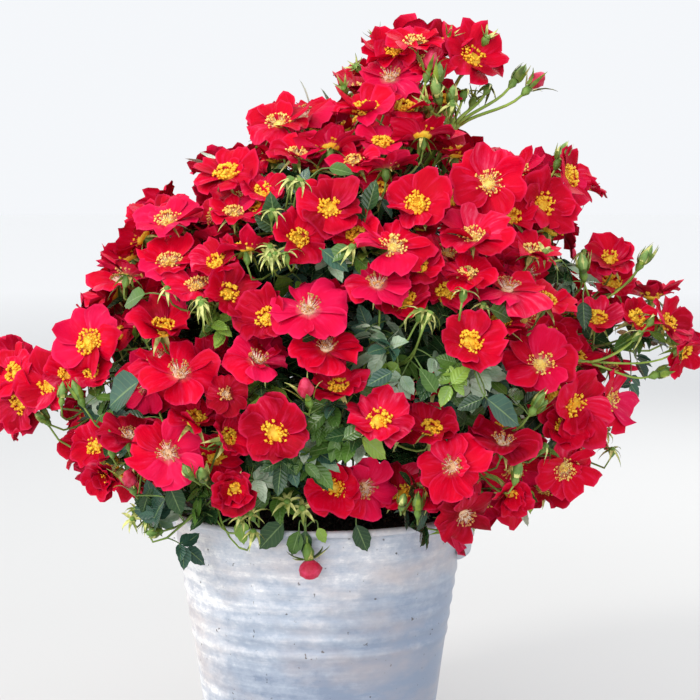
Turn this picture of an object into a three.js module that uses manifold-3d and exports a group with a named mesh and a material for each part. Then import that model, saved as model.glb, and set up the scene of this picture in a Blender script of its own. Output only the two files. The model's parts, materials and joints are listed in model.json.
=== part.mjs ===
// A red patio rose in full bloom, planted in a weathered zinc pot.
// Millimetres, +Z up. The origin is the centre of the pot's flat underside, and -Y is the front.
import * as THREE from 'three';
import { mergeVertices } from 'three/addons/utils/BufferGeometryUtils.js';
import Module from 'manifold-3d';

const wasm = await Module();
wasm.setup();

// The pot: a tapered sheet bucket with a rolled rim, soft ribs and a foot band
const POT_HEIGHT = 200;
const FOOT_RADIUS = 76.5;
const WALL_SLOPE = 0.143;
const WALL = 1.2;
const FOOT_BAND = { height: 6, proud: 1 };
const RIM = { radius: 111, height: 5, under: 1.6, outer: 1.7, shoulder: 0.4, roll: 2.4, inner: 2 };
const RIBS = { count: 7, top: 178, pitch: 11.4, proud: 0.9, halfWidth: 3.2 };
const POT_SIDES = 40;
const EARS = { ear_right: -12, ear_left: 168 };
const EAR = { top: 192, bottom: 165, proud: 9, lip: 1.5, corner: 6, width: 24, taper: 0.6, steps: 6 };

// The soil and the stem's foot
const CLEAR = 0.3;
const SOIL = { edge: 187, slope: 192, crown: 194, slopeRadius: 60, flatRadius: 22 };
const STEM_BASE = { height: 27, foot: 15, flare: 12, waist: 10.5, top: 11.5, neck: 9.4, sides: 9, lean: 3 };
const KNOBS = { count: 3, depth: 0.1, turn: 0.8 };

// The crown: every mass is a cone of space that starts at one point above the pot
const CROWN_CENTRE = new THREE.Vector3(10, 0, 305);
const CORE = 65;
const MASS_CLEAR = 0.4;
const OUTLINE_SHARPNESS = 70;
const POT_SPACE = { radius: 114.5, height: 203 };
const masses = [
  { name: 'right_shoulder', bearing: 5, rise: 42, reach: 236, cane: 'base', slot: 0 },
  { name: 'right_spray', bearing: 0, rise: 2, reach: 268, cane: 'right_shoulder' },
  { name: 'back_right_mid', bearing: 42, rise: 18, reach: 192, cane: 'right_shoulder' },
  { name: 'top_spray', bearing: 0, rise: 72, reach: 254, cane: 'base' },
  { name: 'front_upper', bearing: 266, rise: 50, reach: 192, cane: 'top_spray' },
  { name: 'top_left', bearing: 172, rise: 70, reach: 188, cane: 'top_spray' },
  { name: 'left_shoulder', bearing: 178, rise: 35, reach: 184, cane: 'base', slot: 2 },
  { name: 'left_spray', bearing: 180, rise: -4, reach: 248, cane: 'left_shoulder' },
  { name: 'back_left_mid', bearing: 138, rise: 18, reach: 188, cane: 'left_shoulder' },
  { name: 'front_left_mid', bearing: 224, rise: 20, reach: 190, cane: 'base', slot: 3 },
  { name: 'front_left_low', bearing: 226, rise: -24, reach: 192, cane: 'front_left_mid' },
  { name: 'front_low', bearing: 270, rise: -2, reach: 188, cane: 'front_left_mid' },
  { name: 'front_right_mid', bearing: 318, rise: 20, reach: 192, cane: 'base', slot: 4 },
  { name: 'front_right_low', bearing: 316, rise: -24, reach: 200, cane: 'front_right_mid' },
  { name: 'back_upper', bearing: 88, rise: 48, reach: 186, cane: 'base', slot: 1 },
  { name: 'back_low', bearing: 92, rise: -6, reach: 186, cane: 'back_upper' },
  { name: 'back_left_low', bearing: 134, rise: -24, reach: 188, cane: 'back_upper' },
  { name: 'back_right_low', bearing: 46, rise: -24, reach: 192, cane: 'back_upper' },
];
// Hollows in the crown's outline, between its sprays
const hollows = [
  { bearing: 0, rise: 59, reach: 188 },
  { bearing: 0, rise: 21, reach: 190 },
  { bearing: 0, rise: -42, reach: 172 },
  { bearing: 180, rise: 17, reach: 172 },
  { bearing: 180, rise: 53, reach: 166 },
  { bearing: 180, rise: -42, reach: 172 },
  { bearing: 270, rise: -40, reach: 158 },
  { bearing: 90, rise: -40, reach: 160 },
];

// Canes and boughs
const CANE = { start: 3.1, tip: 2, sides: 7, rings: 6, upright: 14, bend: 0.45 };
const CANE_RING = { radius: 7.2, slots: 5, firstSlot: 12 };
const BOUGH = { start: 2.5, tip: 1.8, sides: 6, rings: 5, leaves: 0.36, step: 0.11, bend: 0.62, sag: 6.5 };

// Twigs, leaves and blossom of a mass
const STEM = { start: 1.7, tip: 1.2, sides: 5, end: 0.6 };
const TWIG = { root: 0.6, radius: 1.3, first: 0.42, span: 0.16, fork: 0.5, forkStep: 0.12, flowers: 3 };
const STALK = { radius: 1, sunk: 5, aside: 2 };
const FLOWER = { petals: 5, cup: 8, heart: 4, notch: 0.76, sizes: [27, 23, 18, 14], layers: [3, 14, 25], settle: 0.8 };
const FACING = { out: 0.6, up: 0.35, spread: 1.3 };
const SPREAD = { lattice: 181, lowest: -43, nudges: 4 };
const LEAF = { length: 46, width: 25, thickness: 1.3, perTwig: 3, tries: 12 };
const LEAF_PLACE = { first: 0.3, span: 0.5, forward: 0.9, turn: 0.8, spread: 0.5, lift: 0.6, shrink: 0.6 };
const BUD = { mass: 'front_low', radius: 6.5, length: 20, from: [12, -112, 226], to: [-4, -126, 182] };
const GOLDEN_ANGLE = Math.PI * (3 - Math.sqrt(5));
const SMOOTH = 0.02;

const zinc = new THREE.MeshStandardMaterial({ color: 0xc9ced4, roughness: 0.55, metalness: 0.4 });
const peat = new THREE.MeshStandardMaterial({ color: 0x17110d, roughness: 1, metalness: 0 });
const bark = new THREE.MeshStandardMaterial({ color: 0x5a4a2c, roughness: 0.85, metalness: 0 });
const bloom = new THREE.MeshStandardMaterial({ color: 0xc0101c, roughness: 0.6, metalness: 0 });

const UP = new THREE.Vector3(0, 0, 1);

// A repeatable number between 0 and 1
function chance(index, salt) {
  const wave = Math.sin(index * 12.9898 + salt * 78.233) * 43758.5453;
  return wave - Math.floor(wave);
}

function direction(bearing, rise) {
  const b = THREE.MathUtils.degToRad(bearing);
  const r = THREE.MathUtils.degToRad(rise);
  return new THREE.Vector3(Math.cos(r) * Math.cos(b), Math.cos(r) * Math.sin(b), Math.sin(r));
}

// The crown's outline: how far it reaches from its centre in a direction
const outlinePoints = [...masses, ...hollows].map(({ bearing, rise, reach }) => ({
  toward: direction(bearing, rise),
  reach,
}));
function crownReach(toward) {
  let sum = 0;
  let weights = 0;
  for (const point of outlinePoints) {
    const weight = Math.exp(OUTLINE_SHARPNESS * (toward.dot(point.toward) - 1));
    sum += weight * point.reach;
    weights += weight;
  }
  return sum / weights;
}

for (const mass of masses) mass.toward = direction(mass.bearing, mass.rise);

// The flat sides that part a mass's space from its neighbours'
for (const mass of masses) {
  mass.sides = masses
    .filter((other) => other !== mass)
    .map((other) => mass.toward.clone().sub(other.toward).normalize());
}

function nearestMass(toward) {
  return masses.reduce((best, mass) => (toward.dot(mass.toward) > toward.dot(best.toward) ? mass : best));
}

function fromCentre(toward, distance) {
  return CROWN_CENTRE.clone().addScaledVector(toward, distance);
}

// Closed mesh to solid and back
function solidOf(geometry) {
  const bare = geometry.clone();
  bare.deleteAttribute('normal');
  bare.deleteAttribute('uv');
  const merged = mergeVertices(bare, 1e-4);
  const corners = merged.index.array;
  const kept = [];
  for (let i = 0; i < corners.length; i += 3) {
    const [a, b, c] = [corners[i], corners[i + 1], corners[i + 2]];
    if (a !== b && b !== c && c !== a) kept.push(a, b, c);
  }
  const vertProperties = Float32Array.from(merged.attributes.position.array);
  return new wasm.Manifold(new wasm.Mesh({ numProp: 3, vertProperties, triVerts: Uint32Array.from(kept) }));
}

function meshOf(name, solid, material) {
  const { vertProperties, triVerts } = solid.getMesh();
  const geometry = new THREE.BufferGeometry();
  geometry.setAttribute('position', new THREE.BufferAttribute(vertProperties, 3));
  geometry.setIndex(new THREE.BufferAttribute(triVerts, 1));
  const mesh = new THREE.Mesh(geometry, material);
  mesh.name = name;
  return mesh;
}

// Join overlapping pieces, fill what that seals and drop loose scraps
function fuse(pieces) {
  const joined = wasm.Manifold.union(pieces).simplify(SMOOTH);
  return joined.decompose().reduce((a, b) => (b.volume() > a.volume() ? b : a));
}

function turned(profile, sides) {
  const points = profile.map(([r, z]) => new THREE.Vector2(r, z));
  return new THREE.LatheGeometry(points, sides).rotateX(Math.PI / 2);
}

// The pot's parts
function wallRadius(z) {
  return FOOT_RADIUS + WALL_SLOPE * z;
}

function potSolid() {
  const profile = [[0, 0], [FOOT_RADIUS, 0], [wallRadius(1) + FOOT_BAND.proud, 1]];
  profile.push([wallRadius(FOOT_BAND.height) + FOOT_BAND.proud, FOOT_BAND.height]);
  profile.push([wallRadius(FOOT_BAND.height + 1), FOOT_BAND.height + 1]);
  for (let i = RIBS.count - 1; i >= 0; i -= 1) {
    const middle = RIBS.top - i * RIBS.pitch;
    profile.push([wallRadius(middle - RIBS.halfWidth), middle - RIBS.halfWidth]);
    profile.push([wallRadius(middle) + RIBS.proud, middle]);
  }
  const under = POT_HEIGHT - RIM.height;
  profile.push([wallRadius(RIBS.top + RIBS.halfWidth), RIBS.top + RIBS.halfWidth]);
  profile.push([wallRadius(under), under], [RIM.radius - RIM.under, under]);
  profile.push([RIM.radius, under + RIM.outer], [RIM.radius - RIM.shoulder, POT_HEIGHT - WALL]);
  profile.push([RIM.radius - RIM.roll, POT_HEIGHT], [wallRadius(POT_HEIGHT), POT_HEIGHT]);
  profile.push([wallRadius(POT_HEIGHT - RIM.inner) - WALL, POT_HEIGHT - RIM.inner]);
  profile.push([wallRadius(WALL) - WALL, WALL], [0, WALL]);
  return solidOf(turned(profile, POT_SIDES));
}

function soilSolid() {
  const inside = (z) => wallRadius(z) - WALL - CLEAR;
  const floor = WALL + CLEAR;
  return solidOf(turned([
    [0, floor], [inside(floor), floor], [inside(SOIL.edge), SOIL.edge], [SOIL.slopeRadius, SOIL.slope],
    [SOIL.flatRadius, SOIL.crown], [0, SOIL.crown],
  ], POT_SIDES));
}

// A folded sheet ear under the rim, bent to the wall's curve
function earSolid(bearing) {
  const gap = CLEAR + RIBS.proud;
  const { top, bottom, proud, lip, corner, width, steps } = EAR;
  const outline = new THREE.Shape();
  outline.moveTo(wallRadius(top) + gap, top);
  outline.lineTo(wallRadius(bottom) + gap, bottom);
  outline.lineTo(wallRadius(bottom) + proud / 2, bottom + lip);
  outline.lineTo(wallRadius(bottom) + proud, bottom + corner);
  outline.lineTo(wallRadius(top) + proud - lip, top);
  outline.closePath();
  const ear = new THREE.ExtrudeGeometry(outline, { depth: width, steps, bevelEnabled: false });
  const position = ear.attributes.position;
  for (let i = 0; i < position.count; i += 1) {
    const radius = position.getX(i);
    const height = position.getY(i);
    const narrow = THREE.MathUtils.mapLinear(height, bottom, top, EAR.taper, 1);
    const round = ((position.getZ(i) - width / 2) * narrow) / wallRadius(top);
    const turn = THREE.MathUtils.degToRad(bearing) - round;
    position.setXYZ(i, radius * Math.cos(turn), radius * Math.sin(turn), height);
  }
  return solidOf(ear);
}

// A tapered limb along a smooth curve through points
function limbSolid(points, startRadius, tipRadius, sides, rings) {
  const path = new THREE.CatmullRomCurve3(points, false, 'centripetal');
  const frames = path.computeFrenetFrames(rings);
  const limb = new THREE.CylinderGeometry(1, 1, 1, sides, rings);
  const position = limb.attributes.position;
  for (let i = 0; i < position.count; i += 1) {
    const along = position.getY(i) + 0.5;
    const ring = Math.round(along * rings);
    const radius = THREE.MathUtils.lerp(startRadius, tipRadius, along);
    const across = frames.normals[ring].clone().cross(frames.tangents[ring]);
    const place = path.getPointAt(along);
    place.addScaledVector(frames.normals[ring], position.getX(i) * radius);
    place.addScaledVector(across, position.getZ(i) * radius);
    position.setXYZ(i, place.x, place.y, place.z);
  }
  return solidOf(limb);
}

function twigSolid(from, to, startRadius, tipRadius, sides) {
  const middle = from.clone().lerp(to, 0.5);
  return limbSolid([from, middle, to], startRadius, tipRadius, sides, 1);
}

// The stem's foot: cut flat on the soil, flared, a little out of upright
function stemBaseSolid() {
  const { height, foot, flare, waist, top, neck, sides, lean } = STEM_BASE;
  const rings = [[foot, 0], [flare, 0.22], [waist, 0.5], [top, 0.85], [neck, 1]];
  const profile = [[0, 0], ...rings.map(([r, u]) => [r, u * height]), [0, height]];
  const base = turned(profile, sides);
  const position = base.attributes.position;
  for (let i = 0; i < position.count; i += 1) {
    const z = position.getZ(i);
    const round = Math.atan2(position.getY(i), position.getX(i));
    const knobs = 1 + KNOBS.depth * Math.sin(KNOBS.count * round + KNOBS.turn);
    const shift = (lean * z) / height;
    position.setXYZ(i, position.getX(i) * knobs + shift, position.getY(i) * knobs, z + SOIL.crown + CLEAR);
  }
  return solidOf(base);
}

// Canes rise from the stem's foot, and boughs leave them; each ends at the foot of its mass
const BASE_TOP = new THREE.Vector3(STEM_BASE.lean, 0, SOIL.crown + CLEAR + STEM_BASE.height);

function canePath(mass) {
  const start = BASE_TOP.clone().addScaledVector(UP, CLEAR);
  if (mass.slot !== undefined) {
    const bearing = CANE_RING.firstSlot + (360 / CANE_RING.slots) * mass.slot;
    start.addScaledVector(direction(bearing, 0), CANE_RING.radius);
  }
  const rise = start.clone().addScaledVector(UP, CANE.upright);
  return [start, rise, fromCentre(mass.toward, CORE * CANE.bend), fromCentre(mass.toward, CORE)];
}

function boughPath(mass, parent) {
  const parentPath = new THREE.CatmullRomCurve3(canePath(parent), false, 'centripetal');
  const siblings = masses.filter((other) => other.cane === mass.cane);
  const start = parentPath.getPointAt(BOUGH.leaves + BOUGH.step * siblings.indexOf(mass));
  const tip = fromCentre(mass.toward, CORE);
  const before = fromCentre(mass.toward, CORE * BOUGH.bend);
  const middle = start.clone().lerp(before, 0.5).addScaledVector(UP, -BOUGH.sag);
  return [start, middle, before, tip];
}

function caneSolid(mass, extra) {
  return limbSolid(canePath(mass), CANE.start + extra, CANE.tip + extra, CANE.sides, CANE.rings);
}

function boughSolid(mass) {
  const parent = masses.find((other) => other.name === mass.cane);
  const whole = limbSolid(boughPath(mass, parent), BOUGH.start, BOUGH.tip, BOUGH.sides, BOUGH.rings);
  const cut = whole.subtract(caneSolid(parent, CLEAR)).simplify(SMOOTH);
  return cut.decompose().reduce((a, b) => (b.volume() > a.volume() ? b : a));
}

// A mass holds only what lies inside its flat sides, outside the core and off the pot
function fits(solid, mass) {
  const { vertProperties } = solid.getMesh();
  const point = new THREE.Vector3();
  for (let i = 0; i < vertProperties.length; i += 3) {
    point.set(vertProperties[i], vertProperties[i + 1], vertProperties[i + 2]);
    const lowered = point.z < POT_SPACE.height;
    if (lowered && Math.hypot(point.x, point.y) < POT_SPACE.radius) return false;
    point.sub(CROWN_CENTRE);
    if (point.length() < CORE + 2) return false;
    if (mass.sides.some((side) => point.dot(side) < MASS_CLEAR)) return false;
  }
  return true;
}

// A blossom of five notched petals, as one shallow cup that faces along its axis
function flowerSolid(place, facing, radius, turn) {
  const profile = [[0, -FLOWER.cup], [radius, 0], [0, -FLOWER.heart]];
  const flower = turned(profile, FLOWER.petals * 2);
  const position = flower.attributes.position;
  for (let i = 0; i < position.count; i += 1) {
    const round = Math.atan2(position.getY(i), position.getX(i)) + Math.PI / 2;
    const corner = Math.round((round * FLOWER.petals) / Math.PI);
    const reach = corner % 2 === 0 ? FLOWER.notch : 1;
    position.setXY(i, position.getX(i) * reach, position.getY(i) * reach);
  }
  flower.rotateZ(turn);
  flower.applyQuaternion(new THREE.Quaternion().setFromUnitVectors(UP, facing));
  return solidOf(flower.translate(place.x, place.y, place.z));
}

// A leaf of eight faces whose root lies on its twig
function leafSolid(root, along, facing, length) {
  const width = (LEAF.width * length) / LEAF.length;
  const leaf = new THREE.OctahedronGeometry(0.5).scale(length, width, LEAF.thickness);
  const side = facing.clone().cross(along).normalize();
  const normal = along.clone().cross(side);
  leaf.applyMatrix4(new THREE.Matrix4().makeBasis(along, side, normal));
  const middle = root.clone().addScaledVector(along, length * 0.5);
  return solidOf(leaf.translate(middle.x, middle.y, middle.z));
}

function crossesAny(solid, middle, reach, placed) {
  const near = placed.filter((other) => other.place.distanceTo(middle) < reach + other.reach);
  return near.some((other) => solid.intersect(other.solid).volume() > 0);
}

// Blossom is spread evenly over the crown, and each flower belongs to the mass it lies nearest
function blossomOf(mass) {
  const toward = new THREE.Vector3();
  const flowers = [];
  for (let i = 0; i < SPREAD.lattice; i += 1) {
    const z = 1 - (2 * i + 1) / SPREAD.lattice;
    if (THREE.MathUtils.radToDeg(Math.asin(z)) < SPREAD.lowest) break;
    const round = Math.sqrt(1 - z * z);
    toward.set(round * Math.cos(i * GOLDEN_ANGLE), round * Math.sin(i * GOLDEN_ANGLE), z);
    if (nearestMass(toward) !== mass) continue;
    const flower = placedFlower(mass, toward.clone(), i, flowers);
    if (flower) flowers.push(flower);
  }
  const across = UP.clone().cross(mass.toward).normalize();
  const over = mass.toward.clone().cross(across);
  for (const flower of flowers) {
    flower.round = Math.atan2(flower.toward.dot(over), flower.toward.dot(across));
  }
  return flowers.sort((a, b) => a.round - b.round);
}

// A flower goes where it crosses no other: on the outline, or a layer deeper, or smaller
function placedFlower(mass, wanted, seed, others) {
  const noise = new THREE.Vector3(chance(seed, 1) - 0.5, chance(seed, 2) - 0.5, chance(seed, 4) - 0.5);
  const facing = wanted.clone().multiplyScalar(FACING.out).addScaledVector(UP, FACING.up);
  facing.addScaledVector(noise, FACING.spread).normalize();
  const edge = Math.sqrt(1 - Math.min(1, wanted.dot(facing)) ** 2);
  for (const radius of FLOWER.sizes) {
    for (const layer of FLOWER.layers) {
      const sunk = layer + FLOWER.settle * radius * edge;
      const toward = nudgedInside(mass, wanted, facing, radius, sunk);
      const place = fromCentre(toward, crownReach(toward) - sunk);
      const solid = flowerSolid(place, facing, radius, 2 * Math.PI * chance(seed, 6));
      if (crossesAny(solid, place, radius, others) || !fits(solid, mass)) continue;
      return { toward, place, facing, reach: radius, solid };
    }
  }
  return null;
}

// Move a flower's direction off the flat sides of its mass, as far as its petals reach
function nudgedInside(mass, wanted, facing, radius, sunk) {
  const toward = wanted.clone();
  for (let nudge = 0; nudge < SPREAD.nudges; nudge += 1) {
    const distance = crownReach(toward) - sunk;
    for (const side of mass.sides) {
      const lean = side.dot(facing);
      const needed = radius * Math.sqrt(1 - lean * lean) + FLOWER.cup * Math.max(0, lean) + 2 * MASS_CLEAR;
      const room = toward.dot(side) * distance;
      if (room < needed) toward.addScaledVector(side, (needed - room) / distance);
    }
    toward.normalize();
  }
  return toward;
}

// One mass: its stem, the twigs that leave it, and the leaves and blossom that they carry
function massSolid(mass, index) {
  const reach = crownReach(mass.toward);
  const stemEnd = fromCentre(mass.toward, reach * STEM.end);
  const stemStart = fromCentre(mass.toward, CORE + CLEAR);
  const pieces = [twigSolid(stemStart, stemEnd, STEM.start, STEM.tip, STEM.sides)];
  const flowers = blossomOf(mass);
  const placed = [...flowers];
  const twigs = Math.max(1, Math.round(flowers.length / TWIG.flowers));
  for (let twig = 0; twig < twigs; twig += 1) {
    const own = flowers.filter((_, i) => Math.floor((i * twigs) / flowers.length) === twig);
    const from = fromCentre(mass.toward, reach * (TWIG.first + (TWIG.span * twig) / twigs));
    const end = underFlower(own[0]);
    pieces.push(twigSolid(from, end, TWIG.root, TWIG.radius, 3));
    own.forEach((flower, i) => {
      pieces.push(flower.solid);
      if (i === 0) return;
      const fork = from.clone().lerp(end, TWIG.fork + (TWIG.forkStep * i));
      pieces.push(twigSolid(fork, underFlower(flower), TWIG.root, STALK.radius, 3));
    });
    for (const leaf of leavesOf(mass, from, end, index * 40 + twig * 5, placed)) pieces.push(leaf.solid);
  }
  if (mass.name === BUD.mass) pieces.push(...hangingBud(stemEnd));
  return fuse(pieces);
}

// A stalk ends inside its flower, a little off the middle
function underFlower(flower) {
  const across = flower.facing.clone().cross(UP).normalize().multiplyScalar(STALK.aside);
  return flower.place.clone().addScaledVector(flower.facing, -STALK.sunk).add(across);
}

function leavesOf(mass, from, end, seed, placed) {
  const along = end.clone().sub(from).normalize();
  const side = along.clone().cross(UP).normalize();
  const leaves = [];
  for (let i = 0; i < LEAF.tries && leaves.length < LEAF.perTwig; i += 1) {
    const { first, span, forward, turn, spread, lift, shrink } = LEAF_PLACE;
    const root = from.clone().lerp(end, first + span * chance(seed + i, 10));
    const sideways = (i % 2 ? 1 : -1) * (turn + spread * chance(seed + i, 7));
    const out = along.clone().multiplyScalar(forward).addScaledVector(side, sideways);
    out.addScaledVector(UP, lift * (2 * chance(seed + i, 8) - 1)).normalize();
    const facing = UP.clone().addScaledVector(along, 0.5).normalize();
    const length = LEAF.length * (1 + shrink * (0.25 - i / LEAF.tries));
    const solid = leafSolid(root, out, facing, length);
    const place = root.clone().addScaledVector(out, length / 2);
    if (!fits(solid, mass) || crossesAny(solid, place, length / 2, placed)) continue;
    const leaf = { solid, place, reach: length / 2 };
    leaves.push(leaf);
    placed.push(leaf);
  }
  return leaves;
}

// One bud hangs on a thin stalk in front of the pot's rim
function hangingBud(stemEnd) {
  const from = new THREE.Vector3(...BUD.from);
  const to = new THREE.Vector3(...BUD.to);
  const bud = new THREE.OctahedronGeometry(0.5, 1).scale(2 * BUD.radius, 2 * BUD.radius, BUD.length);
  bud.translate(to.x, to.y, to.z);
  const stalk = [
    twigSolid(stemEnd, from, TWIG.radius, STALK.radius, 3),
    twigSolid(from, to, STALK.radius, STALK.radius, 3),
  ];
  return [...stalk, solidOf(bud)];
}

const rose = new THREE.Group();
rose.add(meshOf('pot', potSolid(), zinc));
for (const [name, bearing] of Object.entries(EARS)) rose.add(meshOf(name, earSolid(bearing), zinc));
rose.add(meshOf('soil', soilSolid(), peat));
rose.add(meshOf('stem_base', stemBaseSolid(), bark));
masses.forEach((mass, index) => {
  const limb = mass.cane === 'base' ? caneSolid(mass, 0) : boughSolid(mass);
  rose.add(meshOf(`${mass.cane === 'base' ? 'cane' : 'bough'}_${mass.name}`, limb, bark));
  rose.add(meshOf(`foliage_${mass.name}`, massSolid(mass, index), bloom));
});

export default rose;
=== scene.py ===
import json
import math

import bpy
import numpy as np
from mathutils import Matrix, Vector, noise

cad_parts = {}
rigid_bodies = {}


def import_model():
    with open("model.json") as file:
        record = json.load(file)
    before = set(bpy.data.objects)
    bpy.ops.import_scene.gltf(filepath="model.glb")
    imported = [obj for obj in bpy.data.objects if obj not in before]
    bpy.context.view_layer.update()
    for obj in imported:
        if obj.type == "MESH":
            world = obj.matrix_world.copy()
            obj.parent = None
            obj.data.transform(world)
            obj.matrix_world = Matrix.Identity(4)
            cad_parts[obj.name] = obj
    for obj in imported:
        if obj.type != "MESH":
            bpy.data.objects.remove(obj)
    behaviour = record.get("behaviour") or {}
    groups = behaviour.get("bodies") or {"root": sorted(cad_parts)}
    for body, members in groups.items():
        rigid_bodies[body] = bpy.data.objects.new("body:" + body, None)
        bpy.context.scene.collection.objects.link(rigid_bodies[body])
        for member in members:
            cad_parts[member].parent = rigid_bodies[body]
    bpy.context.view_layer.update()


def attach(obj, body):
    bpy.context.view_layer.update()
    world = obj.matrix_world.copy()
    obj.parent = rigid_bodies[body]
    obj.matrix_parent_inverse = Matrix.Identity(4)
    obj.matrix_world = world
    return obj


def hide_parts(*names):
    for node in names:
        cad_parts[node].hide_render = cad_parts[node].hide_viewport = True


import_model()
bpy.ops.object.select_all(action="DESELECT")

# The camera stands where the photograph was taken, in front of the pot and a little above its rim.
# Its frame cuts off the pot's lower half, as the photograph does.
MM = 0.001
VIEW_FROM = Vector((22, -1490, 453)) * MM
VIEW_AT = Vector((22, 0, 312)) * MM
VIEW_ANGLE = math.radians(19.07)
PHOTO_SIDE = 700

bpy.ops.object.camera_add(location=VIEW_FROM)
camera = bpy.context.object
camera.rotation_euler = (VIEW_AT - VIEW_FROM).to_track_quat("-Z", "Y").to_euler()
camera.data.sensor_fit = "HORIZONTAL"
camera.data.angle = VIEW_ANGLE
camera.data.clip_start = 0.05
bpy.context.scene.camera = camera

# The floor is a wide pale sheet, level with the pot's underside, a little darker where the lamps fall on it.
# Like every piece here it gets a finish: a material whose nodes are all added by one method.
FLOOR_RADIUS = 14
FLOOR_FADE = 6
FLOOR_TONES = [(0.1, (0.62, 0.62, 0.615)), (0.45, (0.76, 0.76, 0.755)), (0.9, (0.985, 0.985, 0.98))]


def grey(value):
    return (value, value, value)


class Value:
    """A number that varies over a surface. Sums and products of values add Math nodes."""

    def __init__(self, finish, socket):
        self.finish = finish
        self.socket = socket

    def __add__(self, other):
        return self.finish.maths("ADD", self, other)

    def __sub__(self, other):
        return self.finish.maths("SUBTRACT", self, other)

    def __mul__(self, other):
        return self.finish.maths("MULTIPLY", self, other)

    def __rsub__(self, other):
        return self.finish.maths("SUBTRACT", other, self)

    __radd__ = __add__
    __rmul__ = __mul__


class Finish:
    """A material, and the one way that its nodes are added."""

    def __init__(self, name, colour, roughness, **constants):
        self.material = bpy.data.materials.new(name)
        self.material.use_nodes = True
        self.nodes = self.material.node_tree.nodes
        self.links = self.material.node_tree.links
        self.shader = self.nodes["Principled BSDF"]
        self.shader.inputs["Base Color"].default_value = (*colour, 1)
        self.shader.inputs["Roughness"].default_value = roughness
        for socket, value in constants.items():
            self.shader.inputs[socket.replace("_", " ")].default_value = value

    def add(self, kind, settings, inputs, output=0):
        node = self.nodes.new("ShaderNode" + kind)
        for setting, value in settings.items():
            if setting == "stops":
                stops = node.color_ramp.elements
                while len(stops) < len(value):
                    stops.new(0.5)
                for stop, (at, colour) in zip(stops, value):
                    stop.position = at
                    stop.color = (*colour, 1)
            else:
                setattr(node, setting, value)
        for socket, value in inputs.items():
            if isinstance(value, Value):
                self.links.new(value.socket, node.inputs[socket])
            else:
                node.inputs[socket].default_value = value
        return Value(self, node.outputs[output])

    def maths(self, operation, *values):
        return self.add("Math", {"operation": operation}, dict(enumerate(values)))

    def place(self, scale=(1, 1, 1)):
        where = self.add("TexCoord", {}, {}, "Object")
        return self.add("Mapping", {}, {"Vector": where, "Scale": scale})

    def part(self, vector, axis):
        return self.add("SeparateXYZ", {}, {"Vector": vector}, axis)

    def spot(self, axis):
        """A point's place on its petal or leaflet: along it (X), across it (Y), and its own number (Z)."""
        return self.part(self.add("Attribute", {"attribute_name": "spot"}, {}, "Vector"), axis)

    def noise(self, scale, size, detail=4, roughness=0.55):
        spots = {"Vector": self.place(scale), "Scale": size, "Detail": detail, "Roughness": roughness}
        return self.add("TexNoise", {}, spots)

    def share(self, value, low, high, least=0, most=1):
        """How far a value has come on its way from low to high."""
        ends = {"From Min": low, "From Max": high, "To Min": least, "To Max": most}
        return self.add("MapRange", {}, {"Value": value, **ends})

    def ramp(self, value, stops):
        return self.add("ValToRGB", {"stops": stops}, {"Fac": value})

    def mix(self, factor, first, second):
        first, second = [colour if isinstance(colour, Value) else (*colour, 1) for colour in (first, second)]
        return self.add("Mix", {"data_type": "RGBA"}, {"Factor": factor, 6: first, 7: second}, 2)

    def tinted(self, colour, tint, value, low, high, most=1):
        """A colour that takes on a tint where a value rises from low to high."""
        return self.mix(self.ramp(value, [(low, grey(0)), (high, grey(most))]), colour, tint)

    def bump(self, height, strength, distance):
        return self.add("Bump", {}, {"Height": height, "Strength": strength, "Distance": distance})

    def wear(self, **sockets):
        for socket, value in sockets.items():
            self.links.new(value.socket, self.shader.inputs[socket.replace("_", " ")])


bpy.ops.mesh.primitive_circle_add(vertices=128, radius=FLOOR_RADIUS, fill_type="NGON")
floor = bpy.context.object
floor.name = "studio_floor"
paper = Finish("pale_floor", FLOOR_TONES[-1][1], 0.9)
floor_away = paper.add("VectorMath", {"operation": "LENGTH"}, {0: paper.place()}, "Value")
paper.wear(Base_Color=paper.ramp(paper.share(floor_away, 0, FLOOR_FADE), FLOOR_TONES))
floor.data.materials.append(paper.material)

# Light comes as on a bright day: a strong lamp high on the left, and soft light from all round.
# The lamps are square panels that point at the middle of the plant.
SKY_COLOUR = (0.95, 0.97, 1.0, 1)
SKY_STRENGTH = 0.96
LIT_POINT = Vector((0, 0, 300)) * MM
LAMP_SPREAD = math.radians(130)
LAMPS = {
    "key": dict(place=(-1.55, -1.45, 1.95), size=0.6, power=13.7, colour=(1.0, 0.965, 0.91)),
    "front": dict(place=(-0.8, -2.8, 1.1), size=1.8, power=16, colour=(0.95, 0.97, 1.0)),
    "back": dict(place=(1.1, 1.7, 1.9), size=1.2, power=14, colour=(1.0, 0.98, 0.95)),
}

sky = bpy.data.worlds.new("soft_daylight")
sky.use_nodes = True
sky.node_tree.nodes["Background"].inputs["Color"].default_value = SKY_COLOUR
sky.node_tree.nodes["Background"].inputs["Strength"].default_value = SKY_STRENGTH
bpy.context.scene.world = sky
bpy.context.scene.view_settings.view_transform = "Standard"

for lamp_name, lamp in LAMPS.items():
    bpy.ops.object.light_add(type="AREA", location=lamp["place"])
    light = bpy.context.object
    light.name = f"{lamp_name}_light"
    light.rotation_euler = (LIT_POINT - light.location).to_track_quat("-Z", "Y").to_euler()
    light.data.size = lamp["size"]
    light.data.energy = lamp["power"]
    light.data.color = lamp["colour"]
    light.data.spread = LAMP_SPREAD
    light.visible_camera = False

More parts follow.
